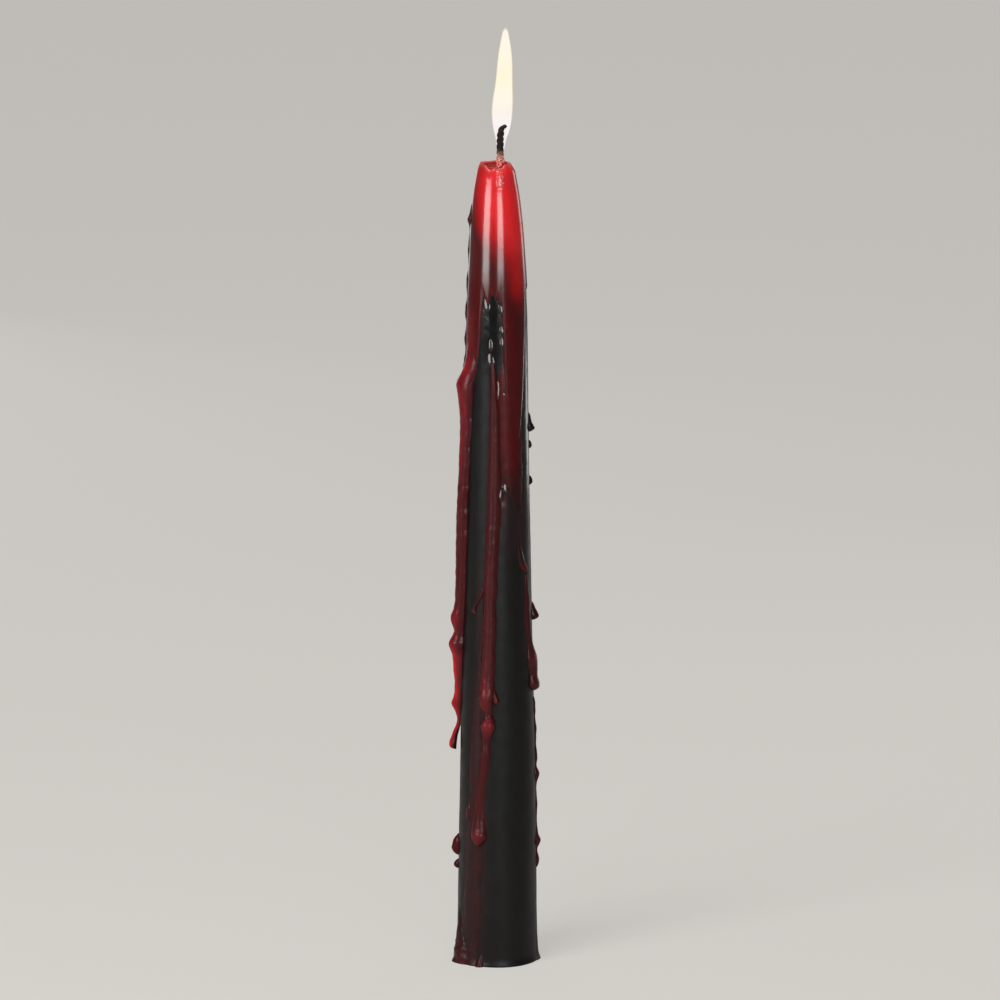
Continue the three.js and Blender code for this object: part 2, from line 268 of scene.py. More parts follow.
def spun(name, outline, steps):
    """An outline of radius and height, from axis to axis, spun into a closed form."""
    mesh = bpy.data.meshes.new(name)
    points = [(r * MM, 0, z * MM) for r, z in outline]
    mesh.from_pydata(points, [(i, i + 1) for i in range(len(points) - 1)], [])
    piece = bpy.data.objects.new(name, mesh)
    bpy.context.collection.objects.link(piece)
    select([piece])
    bpy.ops.object.mode_set(mode="EDIT")
    bpy.ops.mesh.select_all(action="SELECT")
    bpy.ops.mesh.spin(steps=steps, angle=2 * math.pi, center=(0, 0, 0), axis=(0, 0, 1))
    bpy.ops.mesh.select_all(action="SELECT")
    bpy.ops.mesh.remove_doubles(threshold=1e-7)
    bpy.ops.mesh.normals_make_consistent(inside=False)
    bpy.ops.object.mode_set(mode="OBJECT")
    return piece


def polar(points):
    """Radius and bearing of points around the candle's middle."""
    x, y = points[:, 0], points[:, 1]
    return np.hypot(x, y), np.degrees(np.arctan2(x, -y))


def drawn_ball(name, around, rows):
    """A ball to draw out into a run: its piece, and each point's row and sides."""
    deselect()
    bpy.ops.mesh.primitive_uv_sphere_add(segments=around, ring_count=rows, radius=1)
    piece = bpy.context.object
    piece.name = name
    piece.data.name = name
    x, y, z = (points_of(piece) * MM).T
    row = np.round(np.arccos(np.clip(z, -1, 1)) / math.pi * rows)
    girth = np.hypot(x, y)
    girth[girth < 1e-5] = 1
    return piece, row, x / girth, -y / girth


def finish(piece, material, slot, *nodes):
    """Smooths a piece, gives it its finish and fixes it to the candle."""
    piece.data.materials.clear()
    piece.data.materials.append(material)
    piece.data.shade_smooth()
    piece.location = (0, 0, 0)
    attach(piece, "root")
    if nodes:
        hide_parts(*nodes)


def join(name, pieces):
    """Several pieces as one mesh."""
    select(pieces)
    bpy.ops.object.join()
    joined = bpy.context.object
    joined.name = name
    joined.data.name = name
    return joined


def add_node(tree, kind, inputs=None, stops=(), **settings):
    """One shader node with its settings, its ramp's stops, and its inputs by value or by link."""
    made = tree.nodes.new(kind)
    for key, value in settings.items():
        setattr(made, key, value)
    for key, value in (inputs or {}).items():
        if isinstance(value, bpy.types.NodeSocket):
            tree.links.new(value, made.inputs[key])
        else:
            made.inputs[key].default_value = value
    for _ in stops[2:]:
        made.color_ramp.elements.new(0.5)
    for i, (place, value) in enumerate(stops):
        made.color_ramp.elements[i].position = place
        made.color_ramp.elements[i].color = (*value, 1)
    return made


def new_material(name):
    """A material with an empty tree, the tree, and the socket of the points that it is seen at."""
    material = bpy.data.materials.new(name)
    material.use_nodes = True
    tree = material.node_tree
    tree.nodes.clear()
    place = add_node(tree, "ShaderNodeTexCoord").outputs["Object"]
    return material, tree, place


# How much of the floor's tone is its plain colour, without light or shadow, and how bright
# that colour is.
PLAIN_SHARE = 0.58
PLAIN_LEVEL = 1.1

# Refractive index of paraffin wax.
PARAFFIN_IOR = 1.44

# The grain of each pattern, as marks to the millimetre: 0.5 is a mark every 2 mm. Real froth and
# cotton are finer still, and are drawn as coarse as the render can show.
DRAG_MARKS = 0.7
MOTTLING = 0.26
DRIFTING_DYE = 0.23
MELT_RIPPLES = 0.42
CLOUDS_IN_RUNS = 0.38
FROTH_BUBBLES = 2.6
COTTON_THREADS = 2.6
# Drag marks run along the candle: their grain up and down is this share of their grain across.
DRAG_ALONG = 0.12
# Roughness of the black wax where it is wet.
WET_ROUGHNESS = 0.13
# How far drifting dye makes the wax darker or redder, when it is melted bare and in the runs.
BARE_DRIFT = 0.16
RUN_DRIFT = 0.26


def black_dipped_wax():
    """Black-dyed paraffin, dipped: satin, faintly rippled, with a thin red film in places.

    Dipping leaves soft drag marks up and down, and the cooled skin has a dull grey sheen.
    """
    c = bpy.context.scene.candle_colours
    material, tree, place = new_material("black_dipped_wax")
    film, wet = (
        add_node(tree, "ShaderNodeAttribute", attribute_name=name).outputs["Fac"]
        for name in ("red_film", "wet")
    )
    drag = add_node(
        tree, "ShaderNodeMapping", {"Vector": place, "Scale": (1, 1, DRAG_ALONG)}
    ).outputs["Vector"]
    streaks = add_node(
        tree, "ShaderNodeTexNoise", {"Vector": drag, "Scale": DRAG_MARKS / MM, "Detail": 3}
    ).outputs["Fac"]
    mottle = add_node(
        tree, "ShaderNodeTexNoise", {"Vector": place, "Scale": MOTTLING / MM, "Detail": 4}
    ).outputs["Fac"]
    patchy = add_node(
        tree,
        "ShaderNodeMapRange",
        {"Value": streaks, "From Min": 0.3, "From Max": 0.7, "To Min": 0.5, "To Max": 1.3},
    ).outputs["Result"]
    amount = add_node(
        tree, "ShaderNodeMath", {0: film, 1: patchy}, operation="MULTIPLY", use_clamp=True
    ).outputs["Value"]
    base = add_node(
        tree,
        "ShaderNodeValToRGB",
        {"Fac": amount},
        stops=[(0, c.black_wax), (0.5, linear("#241314")), (1, linear("#3c1517"))],
    ).outputs["Color"]
    skin = add_node(
        tree,
        "ShaderNodeMapRange",
        {"Value": mottle, "From Min": 0.25, "From Max": 0.8, "To Min": 0.3, "To Max": 0.46},
    ).outputs["Result"]
    rough = add_node(tree, "ShaderNodeMix", {0: wet, 2: skin, 3: WET_ROUGHNESS}).outputs[0]
    fine = add_node(
        tree, "ShaderNodeBump", {"Height": streaks, "Strength": 0.14, "Distance": 0.0002}
    ).outputs["Normal"]
    broad = add_node(
        tree,
        "ShaderNodeBump",
        {"Height": mottle, "Strength": 0.16, "Distance": 0.0006, "Normal": fine},
    ).outputs["Normal"]
    shader = add_node(
        tree,
        "ShaderNodeBsdfPrincipled",
        {
            "Base Color": base,
            "Roughness": rough,
            "IOR": PARAFFIN_IOR,
            "Specular IOR Level": 0.3,
            "Normal": broad,
        },
    )
    add_node(tree, "ShaderNodeOutputMaterial", {"Surface": shader.outputs[0]})
    return material


def red_molten_wax():
    """Red-dyed paraffin melted bare: wet and glossy, dark where it thins, and bright at the top with
    painted glow from the flame.
    """
    c = bpy.context.scene.candle_colours
    material, tree, place = new_material("red_molten_wax")
    red, cloudy, froth, wet = (
        add_node(tree, "ShaderNodeAttribute", attribute_name=name).outputs["Fac"]
        for name in ("redness", "cloudy", "froth", "wet")
    )
    drift = add_node(
        tree, "ShaderNodeTexNoise", {"Vector": place, "Scale": DRIFTING_DYE / MM, "Detail": 3}
    ).outputs["Fac"]
    shifted = add_node(
        tree, "ShaderNodeMath", {0: drift, 1: BARE_DRIFT, 2: red}, operation="MULTIPLY_ADD"
    ).outputs["Value"]
    centred = add_node(
        tree, "ShaderNodeMath", {0: shifted, 1: BARE_DRIFT / 2}, operation="SUBTRACT", use_clamp=True
    ).outputs["Value"]
    # The brightest stops of this ramp carry the painted flame glow at the top of the bare wax.
    wax = add_node(
        tree,
        "ShaderNodeValToRGB",
        {"Fac": centred},
        stops=[
            (0, linear("#180c0d")),
            (0.2, c.film_wax),
            (0.35, linear("#4a0b0f")),
            (0.5, linear("#6a0d12")),
            (0.68, linear("#9c1016")),
            (0.84, linear("#cc171e")),
            (0.92, linear("#e2272e")),
            (1, c.bright_wax),
        ],
    ).outputs["Color"]
    clouded = add_node(
        tree,
        "ShaderNodeMix",
        {"Factor": cloudy, 6: wax, 7: (*c.cloudy_wax, 1)},
        data_type="RGBA",
    ).outputs[2]
    bubbles = add_node(
        tree, "ShaderNodeTexNoise", {"Vector": place, "Scale": FROTH_BUBBLES / MM, "Detail": 3}
    ).outputs["Fac"]
    speckles = add_node(
        tree,
        "ShaderNodeValToRGB",
        {"Fac": bubbles},
        stops=[(0.4, linear("#de262d")), (0.55, linear("#ea5a5c")), (0.66, linear("#ffc9c2"))],
    ).outputs["Color"]
    base = add_node(
        tree, "ShaderNodeMix", {"Factor": froth, 6: clouded, 7: speckles}, data_type="RGBA"
    ).outputs[2]
    ripples = add_node(
        tree, "ShaderNodeTexNoise", {"Vector": place, "Scale": MELT_RIPPLES / MM, "Detail": 2}
    ).outputs["Fac"]
    bump = add_node(
        tree, "ShaderNodeBump", {"Height": ripples, "Strength": 0.1, "Distance": 0.0004}
    ).outputs["Normal"]
    skin = add_node(
        tree, "ShaderNodeMapRange", {"Value": wet, "To Min": 0.08, "To Max": 0.8}
    ).outputs["Result"]
    shader = add_node(
        tree,
        "ShaderNodeBsdfPrincipled",
        {
            "Base Color": base,
            "Roughness": 0.24,
            "IOR": PARAFFIN_IOR,
            "Specular IOR Level": 0.3,
            "Coat Weight": skin,
            "Coat Roughness": 0.12,
            "Normal": bump,
            "Subsurface Weight": 0.2,
            "Subsurface Radius": (1, 0.15, 0.1),
            "Subsurface Scale": 0.0012,
        },
    )
    add_node(tree, "ShaderNodeOutputMaterial", {"Surface": shader.outputs[0]})
    return material


def set_run_wax():
    """Red-dyed paraffin set over black: dark where thin, redder in a bead, dull with bloom; its
    reddest is partly painted light shining through a hanging run.
    """
    c = bpy.context.scene.candle_colours
    material, tree, place = new_material("set_run_wax")
    depth, dull = (
        add_node(tree, "ShaderNodeAttribute", attribute_name=name).outputs["Fac"]
        for name in ("wax_depth", "bloom")
    )
    cloud = add_node(
        tree, "ShaderNodeTexNoise", {"Vector": place, "Scale": CLOUDS_IN_RUNS / MM, "Detail": 3}
    ).outputs["Fac"]
    shifted = add_node(
        tree, "ShaderNodeMath", {0: cloud, 1: RUN_DRIFT, 2: depth}, operation="MULTIPLY_ADD"
    ).outputs["Value"]
    centred = add_node(
        tree, "ShaderNodeMath", {0: shifted, 1: RUN_DRIFT / 2}, operation="SUBTRACT", use_clamp=True
    ).outputs["Value"]
    clear = add_node(
        tree,
        "ShaderNodeValToRGB",
        {"Fac": centred},
        stops=[
            (0, linear("#160d0e")),
            (0.2, c.film_wax),
            (0.35, linear("#441014")),
            (0.5, c.run_wax),
            (0.7, linear("#80191f")),
            (1, c.thick_wax),
        ],
    ).outputs["Color"]
    base = add_node(
        tree, "ShaderNodeMix", {"Factor": dull, 6: clear, 7: (*c.bloom, 1)}, data_type="RGBA"
    ).outputs[2]
    rough = add_node(
        tree, "ShaderNodeMapRange", {"Value": dull, "To Min": 0.26, "To Max": 0.5}
    ).outputs["Result"]
    bump = add_node(
        tree, "ShaderNodeBump", {"Height": cloud, "Strength": 0.22, "Distance": 0.0004}
    ).outputs["Normal"]
    shader = add_node(
        tree,
        "ShaderNodeBsdfPrincipled",
        {
            "Base Color": base,
            "Roughness": rough,
            "IOR": PARAFFIN_IOR,
            "Specular IOR Level": 0.26,
            "Normal": bump,
            "Subsurface Weight": 0.15,
            "Subsurface Radius": (1, 0.2, 0.15),
            "Subsurface Scale": 0.0008,
        },
    )
    add_node(tree, "ShaderNodeOutputMaterial", {"Surface": shader.outputs[0]})
    return material


# Heights above the rim, in metres, between which the wick's cotton turns scorched and then black,
# and how far the threads shift them.
SCORCHING = (0.001, 0.0036)
CHARRING = (0.0032, 0.0052)
RAGGED_CHAR = 0.003


def wick_cotton():
    """Braided cotton: pale and wet with wax below, burnt to black crumbs above."""
    c = bpy.context.scene.candle_colours
    s = bpy.context.scene.candle_sizes
    material, tree, place = new_material("wick_cotton")
    height = add_node(tree, "ShaderNodeSeparateXYZ", {"Vector": place}).outputs["Z"]
    threads = add_node(
        tree, "ShaderNodeTexNoise", {"Vector": place, "Scale": COTTON_THREADS / MM, "Detail": 3}
    ).outputs["Fac"]
    ragged = add_node(
        tree, "ShaderNodeMath", {0: threads, 1: RAGGED_CHAR, 2: height}, operation="MULTIPLY_ADD"
    ).outputs["Value"]
    burnt, scorched = (
        add_node(
            tree,
            "ShaderNodeMapRange",
            {"Value": ragged, "From Min": s.height + start, "From Max": s.height + end},
        ).outputs["Result"]
        for start, end in (CHARRING, SCORCHING)
    )
    soaked, dry, charred = (
        add_node(tree, "ShaderNodeValToRGB", {"Fac": threads}, stops=stops).outputs["Color"]
        for stops in (
            [(0.38, linear("#d63a40")), (0.5, c.soaked_cotton), (0.62, linear("#ffded4"))],
            [(0.4, linear("#7a4a3e")), (0.5, c.dry_cotton), (0.62, linear("#e6cdb8"))],
            [(0.45, c.charred_cotton), (0.75, linear("#2a1c17"))],
        )
    )
    unburnt = add_node(
        tree, "ShaderNodeMix", {"Factor": scorched, 6: soaked, 7: dry}, data_type="RGBA"
    ).outputs[2]
    base = add_node(
        tree, "ShaderNodeMix", {"Factor": burnt, 6: unburnt, 7: charred}, data_type="RGBA"
    ).outputs[2]
    rough = add_node(
        tree, "ShaderNodeMapRange", {"Value": burnt, "To Min": 0.25, "To Max": 0.95}
    ).outputs["Result"]
    bump = add_node(
        tree, "ShaderNodeBump", {"Height": threads, "Strength": 0.6, "Distance": 0.00015}
    ).outputs["Normal"]
    shader = add_node(
        tree,
        "ShaderNodeBsdfPrincipled",
        {"Base Color": base, "Roughness": rough, "Specular IOR Level": 0.2, "Normal": bump},
    )
    add_node(tree, "ShaderNodeOutputMaterial", {"Surface": shader.outputs[0]})
    return material


# How a part of the flame is tinged, as shares of the flame's own colour.
VIOLET_TINGE = (0.93, 0.87, 0.98)
YELLOW_TINGE = (1, 0.995, 0.87)
# Heights above the wick's tip, in metres, between which the flame grows dense.
THICKENING = (0.0002, 0.0045)


def flame_glow(name, tint, solid, beside_wick):
    """Burning gas: it only gives light, is clear beside the wick and dense above it."""
    s = bpy.context.scene.candle_sizes
    material, tree, place = new_material(name)
    height = add_node(tree, "ShaderNodeSeparateXYZ", {"Vector": place}).outputs["Z"]
    dense = add_node(
        tree,
        "ShaderNodeMapRange",
        {
            "Value": height,
            "From Min": s.wick_top + THICKENING[0],
            "From Max": s.wick_top + THICKENING[1],
            "To Min": beside_wick,
            "To Max": solid,
        },
        interpolation_type="SMOOTHSTEP",
    ).outputs["Result"]
    clear = add_node(tree, "ShaderNodeBsdfTransparent").outputs[0]
    share = add_node(
        tree,
        "ShaderNodeMapRange",
        {"Value": height, "From Min": s.flame_bottom, "From Max": s.flame_top},
    ).outputs["Result"]
    violet, yellow = ([t * k for t, k in zip(tint, by)] for by in (VIOLET_TINGE, YELLOW_TINGE))
    warmth = add_node(
        tree,
        "ShaderNodeValToRGB",
        {"Fac": share},
        stops=[(0.1, violet), (0.42, tint), (0.6, yellow), (0.9, tint)],
    ).outputs["Color"]
    light = add_node(tree, "ShaderNodeEmission", {"Color": warmth, "Strength": 1}).outputs[0]
    shader = add_node(tree, "ShaderNodeMixShader", {0: dense, 1: clear, 2: light})
    add_node(tree, "ShaderNodeOutputMaterial", {"Surface": shader.outputs[0]})
    return material


def plain_floor():
    """Plain matt paper: what the camera sees is partly its plain colour, so shadows stay soft."""
    c = bpy.context.scene.candle_colours
    material, tree, _ = new_material("plain_floor")
    paper = add_node(
        tree, "ShaderNodeBsdfPrincipled", {"Base Color": (*c.floor, 1), "Roughness": 0.9}
    ).outputs[0]
    plain = add_node(
        tree, "ShaderNodeEmission", {"Color": (*c.floor, 1), "Strength": PLAIN_LEVEL}
    ).outputs[0]
    seen = add_node(tree, "ShaderNodeLightPath").outputs["Is Camera Ray"]
    share = add_node(
        tree, "ShaderNodeMath", {0: seen, 1: PLAIN_SHARE}, operation="MULTIPLY"
    ).outputs["Value"]
    shader = add_node(tree, "ShaderNodeMixShader", {0: share, 1: paper, 2: plain})
    add_node(tree, "ShaderNodeOutputMaterial", {"Surface": shader.outputs[0]})
    return material


# Where thin red wax clouds the black coat: height, bearing, half height, half width in degrees,
# and how strong.
FILM_PATCHES = [
    (125, 42, 9, 14, 0.8),
    (140, 14, 20, 10, 0.8),
    (100, -33, 14, 6, 0.6),
    (60, -34, 22, 14, 0.75),
    (28, -40, 20, 22, 0.7),
    (8, -46, 12, 24, 0.6),
    (100, 56, 14, 8, 0.6),
    (172, 150, 22, 26, 0.6),
    (176, -140, 20, 22, 0.6),
    (110, -152, 40, 10, 0.3),
]


def red_film(z, bearing):
    """How strongly red wax clouds the coat, from 0 to 1."""
    return np.max([strength * spot(z, bearing, *place) for *place, strength in FILM_PATCHES], 0)


# Ragged lower edge of the bare red wax: bearing, height, going once round.
CROWN_EDGE = [
    (-180, 184),
    (-162, 178),
    (-150, 172),
    (-137, 180),
    (-120, 186),
    (-106, 183),
    (-98, 174),
    (-90, 169),
    (-78, 166),
    (-66, 164.5),
    (-55, 165),
    (-46, 167),
    (-39, 170),
    (-34.5, 175),
    (-31, 182),
    (-26, 186.3),
    (-19, 185),
    (-11, 187.5),
    (-3, 187),
    (3, 185),
    (7, 181),
    (10, 172),
    (14, 160),
    (20, 151),
    (28, 147),
    (36, 146),
    (44, 149),
    (52, 157),
    (60, 170),
    (67, 181),
    (76, 188),
    (95, 188),
    (115, 190),
    (130, 186),
    (147, 176),
    (162, 186),
    (180, 184),
]
crown_edge_at = smooth_through([b for b, _ in CROWN_EDGE], [z for _, z in CROWN_EDGE])

# How red the bare wax is by height, in front: dark where it thins over the black, and bright near
# the top, which is painted glow from the flame.
CROWN_GLOW_FADE = [
    (128, 0.2),
    (150, 0.22),
    (187, 0.22),
    (190.8, 0.25),
    (193.6, 0.3),
    (196.3, 0.38),
    (199, 0.5),
    (201.7, 0.65),
    (204.4, 0.78),
    (208.6, 0.87),
    (213, 0.92),
    (224, 0.92),
]
crown_glow_fade_at = smooth_through([z for z, _ in CROWN_GLOW_FADE], [red for _, red in CROWN_GLOW_FADE])
# About the wall's radius at the ragged edge, in millimetres.
EDGE_RADIUS = 8


def past_edge(z, bearing):
    """Distance in millimetres from the ragged lower edge of the bare wax, negative beyond it."""
    low, edge, high = (crown_edge_at(bearing + step)[:, 0] for step in (-2, 0, 2))
    ragged = 0.5 * np.sin(bearing * 0.41) + 0.35 * np.sin(bearing * 0.97 + 2)
    slope = (high - low) / (np.radians(4) * EDGE_RADIUS)
    return (z - edge - ragged) / np.sqrt(1 + slope**2)


# Painted light on the bare wax away from the front: how far down the redness reaches, and how much
# redder or darker it is there. This gives a painted glow on the right, and on the left painted shade
# high up and a painted glow lower down. Columns: bearing, spread in degrees, amount, and the heights
# between which it sets in.
PAINTED_LIGHT_SHIFTS = [(46, 36, 5.8, -1, 0), (46, 36, 8.5, 201, 187), (-82, 36, -9, 186, 198)]
PAINTED_LIGHT_TINTS = [(50, 32, 0.1, 194, 202), (-66, 30, -0.18, 194, 202), (-62, 26, 0.3, 190, 180)]


def by_side(z, bearing, rows):
    """The amounts of a table of shifts or tints, added up."""
    return sum(
        amount * dip(bearing, centre, spread) * smooth_step(z, start, full)
        for centre, spread, amount, start, full in rows
    )


def crown_redness_and_glow(z, bearing):
    """From 0, black showing through, to 1, clear red, with painted flame glow near the top and
    painted light and shade from side to side.
    """
    # Painted glow on the right and painted shade on the left are added to the fade here.
    red = crown_glow_fade_at(z + by_side(z, bearing, PAINTED_LIGHT_SHIFTS))[:, 0]
    red = red + by_side(z, bearing, PAINTED_LIGHT_TINTS)
    return red * (0.3 + 0.7 * smooth_step(past_edge(z, bearing), 0, 1))


# Pits and grooves in the coat: height, bearing, half height, half width in degrees, how square
# its ends are, and depth, which is negative for a bump.
COAT_MARKS = [
    (28.2, -45, 0.6, 3.5, 2, 0.25),
    (131.2, 6, 1.3, 7, 2, 0.3),
    (23.5, -33.5, 3, 2, 4, 0.15),
    (6, -41, 6, 5, 4, 0.35),
    (14.5, -39, 1.2, 6, 2, -0.35),
]
# Where the coat is wet and shines: height, bearing, half height, half width, and how square its
# ends and sides are.
WET_PATCHES = [(177, -12, 12, 24, 4, 4), (133, 10, 3.5, 14, 2, 2), (152, 68, 20, 13, 4, 2)]
# In millimetres: how high the long and the short ripples from dipping are, and how far the coat
# reaches up under the bare wax.
LONG_RIPPLE = 0.07
SHORT_RIPPLE = 0.05
COAT_LAP = 3


def build_coat():
    """The black coat, with soft dents and ripples from dipping, and a worn foot."""
    s = sizes()
    top = s["height"] - s["crown_height"] + COAT_LAP
    rings = np.concatenate([np.linspace(0.25, 4, 14), np.linspace(4.7, top, 256)])
    outline = [(0, 0), (0.6, 0), (0.97, 0)] + [(1, z) for z in rings]
    outline += [(0.9, top + 0.6), (0.6, top + 0.9), (0, top + 1)]
    piece = spun("black_wax_coat_dipped", outline, s["around"])
    points = points_of(piece)
    share, bearing = polar(points)
    z = points[:, 2]
    r = share * wall_radius(z, bearing)
    side = share > 0.95
    ripple = LONG_RIPPLE * lumps(points * [9, 9, 0.45], 9, 1)
    ripple += SHORT_RIPPLE * lumps(points * [9, 9, 1], 3.5, 2)
    marks = sum(depth * spot(z, bearing, *place) for *place, depth in COAT_MARKS)
    wet = sum(spot(z, bearing, *place) for place in WET_PATCHES)
    ripple += 0.015 * wet * lumps(points * [5, 5, 1], 2.2, 7)
    tucked_in = 0.5 * smooth_step(z, top - COAT_LAP, top)
    r += side * (ripple - marks - tucked_in)
    set_points(piece, around_wall(r, bearing, z))
    paint(piece, "red_film", red_film(z, bearing))
    paint(piece, "wet", np.clip(wet, 0, 1))
    finish(piece, black_dipped_wax(), "black_wax", "black_wax_coat")


# How the rim dips: bearing, spread in degrees, depth in millimetres, how flat its bottom is.
RIM_DIPS = [(12, 17, 0.9, 4), (-22, 18, 1.3, 2), (120, 40, 0.3, 2), (-150, 30, 0.25, 2)]
# Below the rim, in millimetres: the molten pool, the bottom of the channel that the wick stands
# in, and the lowest froth where the wick shows through the front wall.
POOL_TOP = 2.1
GUTTER_DEPTH = 3.6
ROOT_LOW = 6.4
# How thick the bare wax is at its ragged edge, and how far its skirt is tucked in below it.
EDGE_THICKNESS = 0.28
SKIRT_TUCK = 0.6


def crown_outline(low, rim, lip, floor):
    """The crown's outline from the middle of its skirt to the middle of its pool, and its bore."""
    outer = np.linspace(low, rim - lip, 230)
    at_front = wall_radius(outer, 0 * outer)
    middle = at_front[-1] - lip
    bore = middle - lip
    outline = [(0, low - 1), (at_front[0] * 0.6, low - 1), (at_front[0] * 0.9, low - 0.6)]
    outline += list(zip(at_front, outer))
    turns = np.radians(np.linspace(12, 168, 13))
    outline += [(middle + lip * math.cos(t), rim - lip + lip * math.sin(t)) for t in turns]
    inside = np.linspace(rim - lip, floor, 22)
    outline += list(zip(bore - 0.2 * smooth_step(rim - inside, 0, 3), inside))
    outline += [((bore - 0.3) * t, floor - 0.2) for t in np.linspace(1, 0, 24)]
    return outline, bore


def build_crown():
    """The bare red crown: skirt over the coat, softened rim, gutter and molten pool."""
    s = sizes()
    rim = s["height"]
    lip = s["rim_wall"] / 2
    floor = rim - s["pool_depth"]
    low = min(z for _, z in CROWN_EDGE) - 4
    outline, bore = crown_outline(low, rim, lip, floor)
    piece = spun("red_wax_crown", outline, 192)
    points = points_of(piece)
    r, bearing = polar(points)
    x, y, z = points.T
    wall = wall_radius(z, 0 * bearing)
    below_lip = z < rim - lip + 0.01
    outer_side = (r > wall - 0.02) & below_lip
    inner_side = (r < bore + 0.1) & (z > floor - 0.1) & below_lip
    bed = (r < bore) & (np.abs(z - floor + 0.2) < 0.05)
    within = inner_side | bed
    over_rim = ~outer_side & ~within & (z > rim - lip)

    # The rim dips, and inside it the pool and the channel of the wick are let in.
    drop = sum(depth * dip(bearing, *place, flat) for *place, depth, flat in RIM_DIPS)
    new_z = z - drop * smooth_step(z, rim - 13, rim - 0.5)
    beside = np.abs(x - s["wick_offset"]) / (s["wick_radius"] + 0.4)
    channel = np.exp(-(beside**6)) * (1 - smooth_step(y, 0.8, 1.6))
    pool = rim - POOL_TOP - (GUTTER_DEPTH - POOL_TOP) * channel + 0.25 * (r / bore) ** 4
    down = (rim - lip - z) / (rim - lip - floor)
    under_lip = rim - lip - drop
    meets = np.minimum(pool, under_lip - 0.2)
    new_z = np.where(inner_side, under_lip + (meets - under_lip) * down, new_z)
    new_z = np.where(bed, np.minimum(pool, under_lip - 0.2 + (bore - r) * 3), new_z)

    # The wall follows its new heights, and is thicker down to its ragged edge.
    grown = wall_radius(new_z, bearing) - wall
    r += grown * np.select([outer_side, over_rim, inner_side], [1, 0.7, 0.3 * (1 - down)], 0)
    over = past_edge(new_z, bearing)
    thick = EDGE_THICKNESS * np.sqrt(np.clip(over / 0.8, 0, 1))
    thick = thick * (1 - 0.9 * smooth_step(new_z, 188, 212))
    thick = np.where(over < 0, -SKIRT_TUCK * smooth_step(-over, 0, 0.6), thick)
    r = np.where(outer_side, r + thick, r)

    # Froth in front of the wick, soft unevenness, and the rounded shoulder.
    turn = np.radians(bearing)
    round_wall = np.stack([r * np.sin(turn), r * np.cos(turn), 0.1 * z], 1)
    froth = dip(bearing, 11, 10, 4) * smooth_step(rim - new_z, ROOT_LOW, ROOT_LOW - 1.6)
    froth *= smooth_step(rim + 0.4 - new_z, 0, 1.5) * outer_side
    r += froth * (0.22 + 0.12 * lumps(points, 0.45, 6))
    r += 0.012 * lumps(round_wall, 6, 4) * outer_side * smooth_step(rim - z, 0, 10)
    r += 0.018 * lumps(points, 2.4, 5) * (z > floor - 1)
    shoulder = (0.35 + 0.65 * dip(bearing, 75, 55)) * smooth_step(z, rim - 2.8, rim) ** 1.5
    r = np.where(bed, r, r - shoulder)
    set_points(piece, around_wall(r, bearing, new_z))

    cloudy = 0.85 * inner_side * (1 - smooth_step(drop, 1.6, 3)) + 0.2 * bed
    # Inside the rim and in the pool the redness is set high: a painted glow standing in for the
    # flame's light in the shaded hollow.
    paint(piece, "redness", np.where(within, 0.9, crown_redness_and_glow(new_z, bearing)))
    paint(piece, "froth", froth)
    paint(piece, "wet", smooth_step(new_z, 187, 197))
    paint(piece, "cloudy", np.where(within, cloudy, 0.35 * smooth_step(z, rim - 1.2, rim - 0.2)))
    finish(piece, red_molten_wax(), "red_wax", "red_wax_core")


# A run is rounded off over this length at each end, and sinks this far into the wall that it
# has bonded to, both in millimetres.
RUN_END = 1.3
BOND = 0.15


